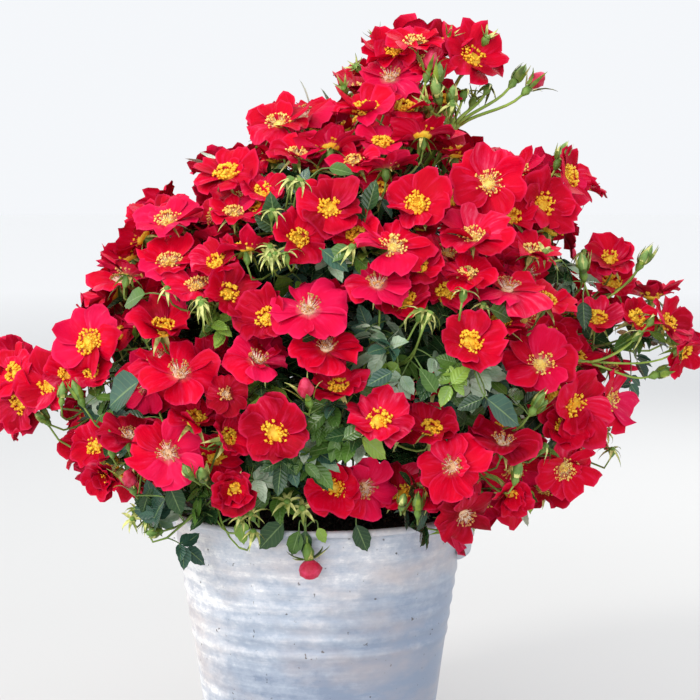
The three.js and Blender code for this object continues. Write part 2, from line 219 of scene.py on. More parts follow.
# The pot is a tapered bucket of thin zinc sheet, with a rolled rim, soft ribs pressed in and a foot band.
# It is whitewashed and weathered: the wash is thick on the left, and the blue-grey metal shows in level
# streaks across the front and in mottling on the right. The right side is also painted darker and bluer as
# painted shade, most towards its bottom, so that the left looks lit. Its outline is drawn in mm and spun.
POT_HEIGHT = 200
FOOT_RADIUS = 76.5
FOOT_BAND = [(-3.4, 0.9), (-2.6, 0), (-0.4, 0), (0.8, 0.9), (1.4, 2.4), (1.6, 4.6), (1.5, 5.9), (1.1, 6.7)]
WALL_SLOPE = 0.143
WALL_FOOT = 7.4
WALL_TOP = 193.6
WALL_STEPS = 96
SHEET = 1.2
RIM_RADIUS = 111
RIM_ROLL = 2.55
RIB_TOP = 178
RIB_PITCH = 11.4
RIB_COUNT = 7
RIB_PROUD = 0.9
POT_STEPS = 180
SEAM_BEARING = math.radians(75)
SEAM_HALF_WIDTH = 0.035
SEAM_PROUD = 0.7
DENTS = [(0.7, 22, 0.45), (1, 60, 0.12)]
RIM_SAG = 0.5
WASH_TONES = [(0.0, (0.96, 0.96, 0.96)), (0.20, (0.67, 0.69, 0.74)), (0.55, (0.44, 0.50, 0.595)),
              (1.0, (0.31, 0.375, 0.50))]
DIRT = (0.10, 0.10, 0.11)
WARM_STAIN = (0.62, 0.53, 0.50)


def wall_radius(z):
    return FOOT_RADIUS + WALL_SLOPE * z


def rib_height(z):
    from_top = (RIB_TOP - z) / RIB_PITCH
    if from_top < -0.5 or from_top > RIB_COUNT - 0.5:
        return 0
    return RIB_PROUD * max(0, math.cos(math.pi * (from_top - round(from_top)))) ** 3


def spun(name, outline, steps):
    """Draw an outline of (radius, height) points in mm, corner by corner, and spin it about the axis."""
    bpy.ops.mesh.primitive_circle_add(vertices=3, radius=0.01)
    piece = bpy.context.object
    piece.name = name
    bpy.ops.object.mode_set(mode="EDIT")
    bpy.ops.mesh.select_all(action="SELECT")
    bpy.ops.mesh.merge(type="CENTER")
    points = [Vector((r, 0, z)) * MM for r, z in outline]
    bpy.ops.transform.translate(value=points[0])
    for before, after in zip(points, points[1:]):
        bpy.ops.mesh.extrude_vertices_move(TRANSFORM_OT_translate={"value": after - before})
    bpy.ops.mesh.select_all(action="SELECT")
    bpy.ops.mesh.spin(steps=steps, angle=2 * math.pi, center=(0, 0, 0), axis=(0, 0, 1))
    bpy.ops.mesh.select_all(action="SELECT")
    bpy.ops.mesh.remove_doubles(threshold=2e-6)
    bpy.ops.mesh.normals_make_consistent(inside=False)
    bpy.ops.object.mode_set(mode="OBJECT")
    return piece


def pick(*pieces):
    """Select these pieces alone, and make the last one active."""
    bpy.ops.object.select_all(action="DESELECT")
    for piece in pieces:
        piece.select_set(True)
    bpy.context.view_layer.objects.active = pieces[-1]


def smooth(piece, angle=40):
    pick(piece)
    bpy.ops.object.shade_smooth_by_angle(angle=math.radians(angle))
    bpy.ops.object.select_all(action="DESELECT")


def finished(piece, finish, slot_name, *nodes):
    """Give a piece its finish, and hand it to the frame in place of its CAD nodes."""
    piece.data.materials.clear()
    piece.data.materials.append(finish.material)
    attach(piece, "root")
    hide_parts(*nodes)


pot_outline = [(0, 0.9), (55, 0.9)] + [(FOOT_RADIUS + proud, z) for proud, z in FOOT_BAND]
for step in range(WALL_STEPS + 1):
    z = WALL_FOOT + (WALL_TOP - WALL_FOOT) * step / WALL_STEPS
    pot_outline.append((wall_radius(z) + rib_height(z), z))
for step in range(11):
    turn = math.radians(-115 + 26 * step)
    pot_outline.append((RIM_RADIUS - RIM_ROLL + RIM_ROLL * math.cos(turn),
                        POT_HEIGHT - RIM_ROLL + RIM_ROLL * math.sin(turn)))
pot_outline += [(wall_radius(198) - 0.2, 199.2), (wall_radius(197) - SHEET, 197.6)]
pot_outline += [(wall_radius(z) - SHEET, z) for z in (190, 150, 100, 50, 4)]
pot_outline += [(wall_radius(2) - SHEET - 2, 2.1), (0, 2.1)]
pot = spun("zinc_pot", pot_outline, POT_STEPS)

# Hand dents and a rim that isn't quite round, then the lapped seam down the back
for vertex in pot.data.vertices:
    x, y, z = vertex.co
    around = math.hypot(x, y)
    if around < 0.02:
        continue
    dents = sum(noise.noise(Vector((x, y, z * squeeze)) * size) * deep for squeeze, size, deep in DENTS)
    bearing = math.atan2(y, x)
    swell = dents * min(1, z / 0.03) + RIM_SAG * math.sin(2 * bearing + 0.7) * (z / 0.2) ** 3
    if around > (wall_radius(z / MM) - 0.5) * MM and 0.008 < z < 0.194:
        swell += SEAM_PROUD * max(0, 1 - abs(bearing - SEAM_BEARING) / SEAM_HALF_WIDTH) ** 0.3
    vertex.co.x += x / around * swell * MM
    vertex.co.y += y / around * swell * MM
smooth(pot, 50)

zinc = Finish("whitewashed_zinc", (0.7, 0.72, 0.75), 0.5, Metallic=0.0)
streaks = zinc.noise((1, 1, 16), 7.5, detail=6, roughness=0.62)
fine_streaks = zinc.noise((1, 1, 14), 34, detail=5, roughness=0.6)
mottle = zinc.noise((1, 1, 1.3), 46, detail=7, roughness=0.74)
grain = zinc.noise((1, 1, 1.6), 170, detail=4, roughness=0.7)
clouds = zinc.noise((1, 1, 1), 9, detail=3)
across, height = zinc.part(zinc.place(), "X"), zinc.part(zinc.place(), "Z")
# The right side is partly barer metal and partly painted shade, so that the pot's left looks lit
bare_and_shaded_right = zinc.ramp(zinc.share(across, -0.11, 0.11),
                      [(0.09, grey(0)), (0.22, grey(0.15)), (0.60, grey(0.21)), (1.0, grey(0.34))])
# Painted shade: darker and bluer towards the bottom on the right
lower = zinc.share(height, 0.172, 0.09) * bare_and_shaded_right
# The grooves are drawn greyer and the rib crests whiter: partly weathering in the grooves, partly painted
# shade that shows up the ribs
ribs = zinc.maths("COSINE", (RIB_TOP * MM - height) * (2 * math.pi / (RIB_PITCH * MM)))
bare = streaks * 0.50 + fine_streaks * 0.22 + mottle * 0.62 + clouds * 0.40 + grain * 0.34
bare = bare + bare_and_shaded_right + lower * 1.6
bare_share = zinc.share(bare - ribs * 0.035, 1.05, 1.59)
specks = zinc.ramp(zinc.noise((1, 1, 1), 210, detail=2), [(0.0, grey(1)), (0.70, grey(1)), (0.755, grey(0))])
washed = zinc.mix(specks, DIRT, zinc.ramp(bare_share, WASH_TONES))
patina = zinc.tinted(washed, WARM_STAIN, zinc.noise((1, 1, 2.2), 15, detail=4), 0.46, 0.72, 0.6)
zinc.wear(Base_Color=patina, Roughness=zinc.share(bare_share, 0, 1, 0.62, 0.36),
          Metallic=zinc.share(bare_share, 0.3, 1, 0, 0.55),
          Normal=zinc.bump(mottle * 0.5 + fine_streaks * 0.5, 0.35, 0.0006))
finished(pot, zinc, "zinc", "pot")

# Two small ears of folded zinc sheet are riveted under the rim, one on each side, to lift the pot by.
# Each one starts as a cube, its top and bottom edges are drawn in and rounded, and it is bent to the wall.
EARS = {"ear_right": -12, "ear_left": 168}
EAR_TOP = 192
EAR_BOTTOM = 165
EAR_UPPER_EDGE = 1.5
EAR_LOWER_EDGE = 6
EAR_PROUD = 9
EAR_GAP = 1.2
EAR_WIDTH = 24
EAR_TAPER = 0.6
RIVET_RADIUS = 1.7
RIVET_ASIDE = 6.2
RIVET_LEVEL = 181

for ear_name, ear_bearing in EARS.items():
    bpy.ops.mesh.primitive_cube_add(size=1)
    ear = bpy.context.object
    ear.name = f"{ear_name}_sheet"
    bpy.ops.object.mode_set(mode="EDIT")
    bpy.ops.mesh.select_all(action="SELECT")
    bpy.ops.mesh.subdivide(number_cuts=15)
    bpy.ops.object.mode_set(mode="OBJECT")
    for vertex in ear.data.vertices:
        sideways, depth, rise = vertex.co
        z = EAR_BOTTOM + (rise + 0.5) * (EAR_TOP - EAR_BOTTOM)
        low = max(0, (EAR_BOTTOM + EAR_LOWER_EDGE - z) / EAR_LOWER_EDGE)
        high = max(0, (z - EAR_TOP + EAR_UPPER_EDGE) / EAR_UPPER_EDGE)
        outer = EAR_PROUD * (1 - 0.5 * low ** 2.2) - EAR_UPPER_EDGE * high
        outer += 0.5 * math.cos(sideways * 2 * math.pi) - (2 * sideways) ** 6
        radius = wall_radius(z) + EAR_GAP + (depth + 0.5) * (outer - EAR_GAP)
        narrow = EAR_TAPER + (1 - EAR_TAPER) * (z - EAR_BOTTOM) / (EAR_TOP - EAR_BOTTOM)
        turn = math.radians(ear_bearing) + sideways * EAR_WIDTH * narrow / wall_radius(EAR_TOP)
        vertex.co = Vector((radius * math.cos(turn), radius * math.sin(turn), z)) * MM
    for hand in (-1, 1):
        turn = math.radians(ear_bearing) + hand * RIVET_ASIDE / wall_radius(EAR_TOP)
        out = Vector((math.cos(turn), math.sin(turn), 0))
        bpy.ops.mesh.primitive_uv_sphere_add(segments=16, ring_count=8, radius=RIVET_RADIUS * MM)
        rivet = bpy.context.object
        rivet.rotation_euler = out.to_track_quat("Z", "Y").to_euler()
        rivet.scale.z = 0.55
        rivet.location = (out * (wall_radius(180) + EAR_PROUD - 0.1) + Vector((0, 0, RIVET_LEVEL))) * MM
        bpy.ops.object.transform_apply()
        pick(rivet, ear)
        bpy.ops.object.join()
    smooth(ear, 38)
    finished(ear, zinc, "zinc", ear_name)

# Dark peat soil fills the pot to a finger's width under the rim, in a low mound round the stem.
# Its surface is a disc raised into lumps, with loose crumbs pressed into it.
SOIL_EDGE = 187
SOIL_SLOPE = 192
SOIL_CROWN = 194
SOIL_SLOPE_RADIUS = 60
SOIL_RINGS = 46
SOIL_GAP = 0.3
CRUMBS = 1500
PEAT_TONES = [(0.35, (0.006, 0.004, 0.003)), (0.55, (0.026, 0.016, 0.010)), (0.72, (0.085, 0.045, 0.022))]

rng = np.random.default_rng(20)
soil_radius = wall_radius(SOIL_EDGE) - SHEET - SOIL_GAP
soil_outline = [(0, 1.6), (FOOT_RADIUS - 2, 1.6)]
soil_outline += [(wall_radius(height) - SHEET - 0.5, height) for height in (60, 140)]
soil_outline += [(soil_radius - 0.6, 183), (soil_radius, SOIL_EDGE - 1)]
for ring in range(SOIL_RINGS):
    r = soil_radius * (1 - ring / SOIL_RINGS) - 0.2
    rise = max(0, min(1, (soil_radius - r) / (soil_radius - SOIL_SLOPE_RADIUS)))
    mound = max(0, min(1, (SOIL_SLOPE_RADIUS - r) / 38))
    level = SOIL_EDGE + rise * (SOIL_SLOPE - SOIL_EDGE) + mound * (SOIL_CROWN - SOIL_SLOPE)
    soil_outline.append((max(r, 0.02), level))
soil = spun("peat_soil", soil_outline, 128)
for vertex in soil.data.vertices:
    x, y, z = vertex.co
    if z < 0.184 or math.hypot(x, y) > (soil_radius - 1) * MM:
        continue
    lumps = 2.2 * noise.noise(vertex.co * 60) + 1.5 * abs(noise.noise(vertex.co * 150)) - 0.5
    lumps += 0.6 * noise.noise(vertex.co * 420)
    vertex.co.z += max(-1.5, lumps) * MM


class Heap:
    """Many small meshes, gathered as arrays of points in mm and of three-sided faces."""

    def __init__(self):
        self.points = []
        self.faces = []
        self.spots = []
        self.count = 0

    def add(self, points, faces, spots=None):
        self.points.append(points)
        self.faces.append(faces + self.count)
        self.count += len(points)
        if spots is not None:
            self.spots.append(spots)

    def piece(self, name):
        points = np.concatenate(self.points) * MM
        faces = np.concatenate(self.faces)
        mesh = bpy.data.meshes.new(name)
        mesh.vertices.add(len(points))
        mesh.vertices.foreach_set("co", points.astype(np.float32).ravel())
        mesh.loops.add(faces.size)
        mesh.loops.foreach_set("vertex_index", faces.astype(np.int32).ravel())
        mesh.polygons.add(len(faces))
        mesh.polygons.foreach_set("loop_start", np.arange(0, faces.size, 3, dtype=np.int32))
        mesh.update(calc_edges=True)
        mesh.shade_smooth()
        if self.spots:
            spots = mesh.attributes.new("spot", "FLOAT_VECTOR", "POINT")
            spots.data.foreach_set("vector", np.concatenate(self.spots).astype(np.float32).ravel())
        made = bpy.data.objects.new(name, mesh)
        bpy.context.collection.objects.link(made)
        return made


def unit(vector):
    return vector / np.linalg.norm(vector)


def facing_frame(facing, turn=0.0):
    """Across, over and facing, as rows: local points times this lie in the plant's own frame."""
    helper = np.array((0.13, 0.21, 0.97)) if abs(facing[2]) < 0.9 else np.array((0.92, 0.21, 0.13))
    across = unit(np.cross(helper, facing))
    over = np.cross(facing, across)
    c, k = math.cos(turn), math.sin(turn)
    return np.array((c * across + k * over, c * over - k * across, facing))


def ring_faces(rings, sides):
    """Faces between rings of points, which close on the last two points: one under and one over them."""
    here = np.arange(sides)
    after = (here + 1) % sides
    last = (rings - 1) * sides
    faces = []
    for low in range(0, last, sides):
        high = low + sides
        faces.append(np.column_stack((low + here, low + after, high + after)))
        faces.append(np.column_stack((low + here, high + after, high + here)))
    faces.append(np.column_stack((after, here, np.full(sides, rings * sides))))
    faces.append(np.column_stack((last + here, last + after, np.full(sides, rings * sides + 1))))
    return np.concatenate(faces)


def turned(profile, sides):
    """Points and faces of an outline of (radius, height) turned about its axis; its ends close to points."""
    around = np.arange(sides) * 2 * math.pi / sides
    rings = [np.column_stack((r * np.cos(around), r * np.sin(around), np.full(sides, z)))
             for r, z in profile[1:-1]]
    points = np.concatenate((*rings, [(0, 0, profile[0][1])], [(0, 0, profile[-1][1])]))
    return points, ring_faces(len(rings), sides)


crumb = turned([(0, -0.5), (0.45, -0.2), (0.42, 0.25), (0, 0.5)], 5)
crumbs = Heap()
for _ in range(CRUMBS):
    r = (soil_radius - 4) * math.sqrt(rng.random())
    turn = rng.random() * 2 * math.pi
    level = SOIL_EDGE + 2 + 5 * min(1, (soil_radius - r) / (soil_radius - SOIL_SLOPE_RADIUS))
    size = rng.uniform(1.2, 4.2) * rng.uniform(0.5, 1)
    shaped = crumb[0] * size * rng.uniform(0.6, 1.3, 3)
    place = np.array((r * math.cos(turn), r * math.sin(turn), level + 0.35 * size))
    crumbs.add(place + shaped @ facing_frame(unit(rng.normal(size=3))), crumb[1])
pick(crumbs.piece("peat_crumbs"), soil)
bpy.ops.object.join()
smooth(soil, 60)

peat = Finish("dark_peat", (0.02, 0.015, 0.012), 0.95)
peat_grains = peat.noise((1, 1, 1), 260, detail=6, roughness=0.7)
peat.wear(Base_Color=peat.ramp(peat_grains, PEAT_TONES), Normal=peat.bump(peat_grains, 0.8, 0.0012))
finished(soil, peat, "peat", "soil")

# The rose's stem is short, knobbly wood, from which six canes rise; younger boughs leave the canes.
# Each limb is a curve given its taper, turned into a mesh, and raised into bark with knots and ridges.
STEM_LEAN = 3
STEM_HEIGHT = 27
STEM_RINGS = [(16.5, -0.06), (15, 0), (12, 0.22), (10.5, 0.5), (11.5, 0.85), (9.4, 1)]
CROWN_CENTRE = np.array((10.0, 0.0, 305.0))
CORE = 65
UP = np.array((0.0, 0.0, 1.0))
MASSES = {
    "right_shoulder": dict(bearing=5, rise=42, reach=236, slot=0),
    "right_spray": dict(bearing=0, rise=2, reach=268, parent="right_shoulder"),
    "back_right_mid": dict(bearing=42, rise=18, reach=192, parent="right_shoulder"),
    "top_spray": dict(bearing=0, rise=72, reach=254),
    "front_upper": dict(bearing=266, rise=50, reach=192, parent="top_spray"),
    "top_left": dict(bearing=172, rise=70, reach=188, parent="top_spray"),
    "left_shoulder": dict(bearing=178, rise=35, reach=184, slot=2),
    "left_spray": dict(bearing=180, rise=-4, reach=248, parent="left_shoulder"),
    "back_left_mid": dict(bearing=138, rise=18, reach=188, parent="left_shoulder"),
    "front_left_mid": dict(bearing=224, rise=20, reach=190, slot=3),
    "front_left_low": dict(bearing=226, rise=-24, reach=192, parent="front_left_mid"),
    "front_low": dict(bearing=270, rise=-2, reach=188, parent="front_left_mid"),
    "front_right_mid": dict(bearing=318, rise=20, reach=192, slot=4),
    "front_right_low": dict(bearing=316, rise=-24, reach=200, parent="front_right_mid"),
    "back_upper": dict(bearing=88, rise=48, reach=186, slot=1),
    "back_low": dict(bearing=92, rise=-6, reach=186, parent="back_upper"),
    "back_left_low": dict(bearing=134, rise=-24, reach=188, parent="back_upper"),
    "back_right_low": dict(bearing=46, rise=-24, reach=192, parent="back_upper"),
}
CANE_RADII = (3.1, 2.0)
CANE_UPRIGHT = 14
CANE_BEND = 0.45
CANE_RING = 7.2
BOUGH_RADII = (2.5, 1.8)
BOUGH_LEAVES = 0.36
BOUGH_STEP = 0.11
BOUGH_BEND = 0.62
BOUGH_SAG = 6.5
LIMB_STEPS = 40
BARK_TONES = [(0.3, (0.055, 0.035, 0.018)), (0.55, (0.17, 0.12, 0.06)), (0.75, (0.33, 0.27, 0.16))]
GREEN_BARK = (0.12, 0.17, 0.045)


def direction(bearing, rise):
    b, r = math.radians(bearing), math.radians(rise)
    return np.array((math.cos(r) * math.cos(b), math.cos(r) * math.sin(b), math.sin(r)))


def smooth_path(corners, steps):
    """A centripetal curve through points, as evenly spaced points."""
    corners = np.array(corners)
    ends = np.concatenate(([2 * corners[0] - corners[1]], corners, [2 * corners[-1] - corners[-2]]))
    knots = np.concatenate(([0], np.cumsum(np.linalg.norm(np.diff(ends, axis=0), axis=1) ** 0.5)))
    path = []
    for i in range(1, len(ends) - 2):
        t = np.linspace(knots[i], knots[i + 1], 40)[:, None]
        a = [((knots[j + 1] - t) * ends[j] + (t - knots[j]) * ends[j + 1]) / (knots[j + 1] - knots[j])
             for j in (i - 1, i, i + 1)]
        b = [((knots[i + 1] - t) * a[0] + (t - knots[i - 1]) * a[1]) / (knots[i + 1] - knots[i - 1]),
             ((knots[i + 2] - t) * a[1] + (t - knots[i]) * a[2]) / (knots[i + 2] - knots[i])]
        path.append(((knots[i + 1] - t) * b[0] + (t - knots[i]) * b[1]) / (knots[i + 1] - knots[i]))
    path = np.concatenate(path)
    run = np.concatenate(([0], np.cumsum(np.linalg.norm(np.diff(path, axis=0), axis=1))))
    return np.column_stack([np.interp(np.linspace(0, run[-1], steps), run, path[:, k]) for k in range(3)])


stem_top = np.array((STEM_LEAN, 0, SOIL_CROWN + STEM_HEIGHT + 0.3))
for mass_name, mass in MASSES.items():
    mass["toward"] = direction(mass["bearing"], mass["rise"])
    tip = CROWN_CENTRE + mass["toward"] * CORE
    if "parent" in mass:
        siblings = [other for other in MASSES if MASSES[other].get("parent") == mass["parent"]]
        share = BOUGH_LEAVES + BOUGH_STEP * siblings.index(mass_name)
        start = MASSES[mass["parent"]]["path"][round(share * (LIMB_STEPS - 1))]
        before = CROWN_CENTRE + mass["toward"] * CORE * BOUGH_BEND
        corners = [start, (start + before) / 2 - UP * BOUGH_SAG, before, tip]
    else:
        start = stem_top - UP * 1.5
        if "slot" in mass:
            start = start + direction(12 + 72 * mass["slot"], 0) * CANE_RING
        corners = [start, start + UP * CANE_UPRIGHT, CROWN_CENTRE + mass["toward"] * CORE * CANE_BEND, tip]
    mass["path"] = smooth_path(corners, LIMB_STEPS)

bark = Finish("rose_bark", (0.16, 0.12, 0.06), 0.8)
bark_grain = bark.noise((1, 1, 0.35), 330, detail=5, roughness=0.65)
bark_patches = bark.noise((1, 1, 1), 42, detail=3)
bark_colour = bark.tinted(bark.ramp(bark_grain, BARK_TONES), GREEN_BARK, bark_patches, 0.42, 0.62, 0.75)
bark.wear(Base_Color=bark_colour, Normal=bark.bump(bark_grain, 0.6, 0.0006))
bark_clouds = bpy.data.textures.new("bark_ridges", "CLOUDS")
bark_clouds.noise_scale = 0.0045
bark_clouds.noise_depth = 3


def barked(piece, depth, node):
    """Raise the bark's ridges on a piece of wood, and hand it to the frame."""
    ridges = piece.modifiers.new("bark", "DISPLACE")
    ridges.texture = bark_clouds
    ridges.texture_coords = "LOCAL"
    ridges.strength = depth * MM
    ridges.mid_level = 0.5
    pick(piece)
    bpy.ops.object.modifier_apply(modifier="bark")
    smooth(piece, 70)
    finished(piece, bark, "bark", node)


def limb_mesh(name, path, radii):
    """A curve with a round section and a taper, made a mesh."""
    curve = bpy.data.curves.new(name, "CURVE")
    curve.dimensions = "3D"
    curve.bevel_depth = MM
    curve.bevel_resolution = 5
    curve.use_fill_caps = True
    spline = curve.splines.new("POLY")
    spline.points.add(len(path) - 1)
    for point, place, radius in zip(spline.points, path, radii):
        point.co = (*(place * MM), 1)
        point.radius = radius
    limb = bpy.data.objects.new(name, curve)
    bpy.context.collection.objects.link(limb)
    pick(limb)
    bpy.ops.object.convert(target="MESH")
    return bpy.context.object


stem_outline = [(radius, SOIL_CROWN + 0.4 + share * STEM_HEIGHT) for radius, share in STEM_RINGS]
stem_outline = [(0, SOIL_CROWN - 2), *stem_outline, (0, SOIL_CROWN + STEM_HEIGHT + 0.4)]
stem_base = spun("stem_wood", stem_outline, 48)
stem_rounding = stem_base.modifiers.new("rounding", "SUBSURF")
stem_rounding.levels = 2
stem_rounding.render_levels = 2
pick(stem_base)
bpy.ops.object.modifier_apply(modifier="rounding")
for vertex in stem_base.data.vertices:
    x, y, z = vertex.co
    bearing = math.atan2(y, x)
    up_share = (z / MM - SOIL_CROWN) / STEM_HEIGHT
    knobs = 1 + 0.1 * math.sin(3 * bearing + 0.8) + 0.05 * math.sin(7 * bearing + 9 * up_share)
    vertex.co.x = x * knobs + STEM_LEAN * up_share * MM
    vertex.co.y = y * knobs
barked(stem_base, 1.4, "stem_base")

for mass_name, mass in MASSES.items():
    kind, (start, end) = ("bough", BOUGH_RADII) if "parent" in mass else ("cane", CANE_RADII)
    share = np.linspace(0, 1, LIMB_STEPS)
    knots = 0.28 * np.maximum(0, np.cos(share * 2 * math.pi * 4.5 + mass["bearing"])) ** 6
    collar = 0.9 * np.exp(-share * 22)
    limb = limb_mesh(f"{kind}_{mass_name}_bark", mass["path"], start + (end - start) * share + knots + collar)
    barked(limb, 0.55, f"{kind}_{mass_name}")

# The crown grows from these limbs by the rule that its masses keep to. Every mass is a cone of space round
# its direction, and the crown reaches a smooth mean of the reaches and hollows near any direction.
# Each hollow: bearing and rise in degrees, and the reach there. Each spray: bearing and rise.
HOLLOWS = [
    (0, 59, 188), (0, 21, 190), (0, -42, 172), (180, 17, 172), (180, 53, 166), (180, -42, 172),
    (270, -40, 158), (90, -40, 160),
]
OUTLINE_SHARPNESS = 70
SPRAYS = [(0, 7), (180, -6), (5, 39), (0, 71)]
SPRAY_HALF_WIDTH = 13
ROUND_REACH = 198
POT_SPACE_RADIUS = 114.5
POT_SPACE_HEIGHT = 203
names = list(MASSES)
mass_towards = np.array([MASSES[name]["toward"] for name in names])
outline_towards = np.concatenate((mass_towards, [direction(b, r) for b, r, _ in HOLLOWS]))
spray_towards = np.array([direction(b, r) for b, r in SPRAYS])
outline_reaches = np.array([MASSES[name]["reach"] for name in names] + [reach for _, _, reach in HOLLOWS])


def crown_reach(towards):
    weights = np.exp(OUTLINE_SHARPNESS * (towards @ outline_towards.T - 1))
    return weights @ outline_reaches / weights.sum(axis=-1)


def open_reach(towards):
    """The crown's reach here: round, but for its sprays, which leave open air between them."""
    apart = np.degrees(np.arccos(np.clip(towards @ spray_towards.T, -1, 1)))
    spray = 1 / (1 + (apart.min(axis=-1) / SPRAY_HALF_WIDTH) ** 6)
    full = crown_reach(towards)
    return np.where(full > ROUND_REACH, ROUND_REACH + (full - ROUND_REACH) * spray, full)


def mass_of(place):
    return names[int(np.argmax(mass_towards @ (place - CROWN_CENTRE)))]


def off_the_pot(place, margin=0):
    return place[2] > POT_SPACE_HEIGHT + margin or math.hypot(place[0], place[1]) > POT_SPACE_RADIUS + margin


# Points of the picture are looked up along the camera's lines of sight
view_from = np.array(VIEW_FROM) / MM
view_forward = unit(np.array(VIEW_AT - VIEW_FROM))
view_right = unit(np.cross(view_forward, UP))
view_up = np.cross(view_right, view_forward)
focal = PHOTO_SIDE / 2 / math.tan(VIEW_ANGLE / 2)


def sight(x, y):
    level = view_forward + view_right * (x - PHOTO_SIDE / 2) / focal
    return unit(level + view_up * (PHOTO_SIDE / 2 - y) / focal)


def seen_at(place):
    """Where a point shows in the picture, and how far away it is."""
    rel = place - view_from
    depth = rel @ view_forward
    across, over = focal * (rel @ view_right) / depth, focal * (rel @ view_up) / depth
    return PHOTO_SIDE / 2 + across, PHOTO_SIDE / 2 - over, depth


def on_crown(x, y, depth=0.985):
    """The first point on a line of sight that is inside the crown, or else the one that comes nearest."""
    line = view_from + np.arange(1150, 1800, 1.5)[:, None] * sight(x, y)
    rel = line - CROWN_CENTRE
    away = np.linalg.norm(rel, axis=1)
    share = away / open_reach(rel / away[:, None])
    inside = np.nonzero(share < depth)[0]
    return line[inside[0] if len(inside) else np.argmin(share)]


# The blossoms: loose cups of five or more notched silky petals round a boss of stamens, on a green base.
# Those that show plainly stand where the picture has them, and the rest of the crown is filled by the rule.
# Each row: picture x and y, half width in pixels, turned right and tilted up in degrees, kind, extra depth.
PLAIN_BLOSSOMS = [
    (393, 50, 30, -10, 50, "young", 6), (446, 44, 26, 20, 50, "young", 10),
    (404, 106, 32, 0, 60, "open", 8), (428, 62, 28, 10, 40, "open", 10), (440, 100, 22, 0, 50, "young", 20),
    (474, 57, 35, 25, 24, "young", 0), (414, 40, 33, -10, 60, "open", 2), (390, 74, 35, -5, 40, "old", 0),
    (366, 108, 36, -5, 56, "open", 0), (382, 142, 28, 0, 60, "open", 8), (422, 132, 36, 5, 112, "open", 6),
    (279, 119, 36, -8, 56, "open", 0), (330, 144, 35, 5, 114, "open", 6), (296, 152, 30, 0, 60, "open", 10),
    (330, 206, 35, 5, 25, "young", 4), (417, 203, 36, 0, 31, "young", 4), (488, 182, 41, -5, 10, "open", 0),
    (543, 204, 36, 30, 8, "young", 8), (571, 176, 34, 58, 12, "open", 0),
    (227, 171, 36, -18, 52, "open", 0), (233, 211, 28, -5, 58, "open", 8),
    (264, 191, 26, 8, 40, "young", 14), (256, 206, 24, -30, 30, "young", 18),
    (166, 218, 38, -16, 54, "open", 0), (169, 258, 34, -8, 58, "open", 6),
    (129, 269, 35, -40, 108, "open", 0), (247, 246, 30, 10, 100, "open", 10),
    (297, 238, 30, 20, 24, "young", 10), (393, 243, 38, 5, 46, "old", 0), (377, 281, 32, -8, 45, "old", 6),
    (308, 305, 42, 2, 44, "old", 0), (474, 233, 40, 5, 58, "open", 0), (468, 273, 30, 0, 60, "open", 8),
    (508, 284, 38, 18, 64, "old", 0), (418, 266, 28, 0, 38, "young", 14),
    (405, 300, 30, -14, 30, "young", 14), (228, 292, 30, 24, 28, "young", 12),
    (196, 284, 34, -14, 52, "open", 10), (216, 262, 28, -20, 40, "young", 14),
    (266, 316, 32, -30, 30, "young", 12), (88, 341, 38, -26, 14, "open", 0),
    (162, 327, 36, 0, 50, "young", 4), (180, 369, 42, 4, 49, "old", 0), (327, 343, 40, 6, 49, "old", 5),
    (258, 358, 34, 14, 46, "old", 6), (226, 394, 22, -10, 10, "shade_dark", 2),
    (469, 341, 36, 0, 27, "young", 2), (541, 362, 40, 5, 27, "open", 0), (576, 407, 38, 30, -6, "young", 4),
    (613, 399, 34, 60, 2, "open", 0), (130, 434, 36, 12, 62, "shade_dark", 6),
    (273, 432, 39, -6, 10, "young", 0), (168, 452, 39, 4, 15, "old", 0), (194, 418, 30, 8, 54, "young", 14),
    (228, 437, 26, 50, 20, "young", 12), (234, 489, 28, -10, -12, "double", 0),
    (334, 488, 32, -8, 0, "young", 0), (107, 478, 24, -20, -14, "double", 0),
    (379, 418, 36, 8, 42, "young", 4), (431, 428, 30, 6, 50, "young", 14), (453, 466, 36, 4, 10, "old", 0),
    (366, 488, 34, 24, -10, "old", 4), (504, 440, 38, 14, 60, "shade_dark", 8),
    (466, 517, 33, 26, -32, "shade_dark", 0), (511, 496, 24, 14, -20, "double", 0),
    (567, 470, 36, 30, -34, "open", 4), (563, 428, 30, 12, 20, "young", 14),
    (48, 386, 34, -30, 8, "young", 0), (14, 372, 32, -48, 10, "open", 0),
    (20, 404, 30, -34, -20, "young", 6), (68, 372, 28, -10, 40, "young", 10),
    (610, 259, 28, -12, 34, "young", 0), (612, 283, 28, 4, 40, "young", 2),
    (652, 293, 30, 46, 84, "young", 0), (668, 322, 30, 52, 30, "young", 4),
    (682, 352, 28, 40, -44, "young", 0), (598, 318, 26, 8, 46, "young", 8),
    (636, 318, 24, 30, 20, "young", 12), (545, 300, 34, 24, 56, "open", 4),
    (500, 322, 30, 8, 60, "open", 12), (357, 236, 26, -12, 40, "young", 16),
    (533, 250, 30, 28, 54, "open", 8), (446, 292, 28, -4, 34, "young", 16),
    (338, 386, 28, -12, 56, "young", 14), (434, 383, 18, 10, 36, "old", 30),
    (402, 392, 16, -14, 30, "open", 30), (92, 372, 26, -10, 30, "young", 12),
    (356, 160, 28, -4, 54, "open", 6), (512, 216, 26, 6, 40, "young", 24),
    (520, 168, 26, 4, 50, "open", 26), (404, 426, 24, 0, 30, "young", 40),
    (386, 163, 34, -4, 104, "open", 4), (380, 190, 24, 0, 44, "young", 24),
    (96, 446, 26, -20, 10, "young", 14),
]
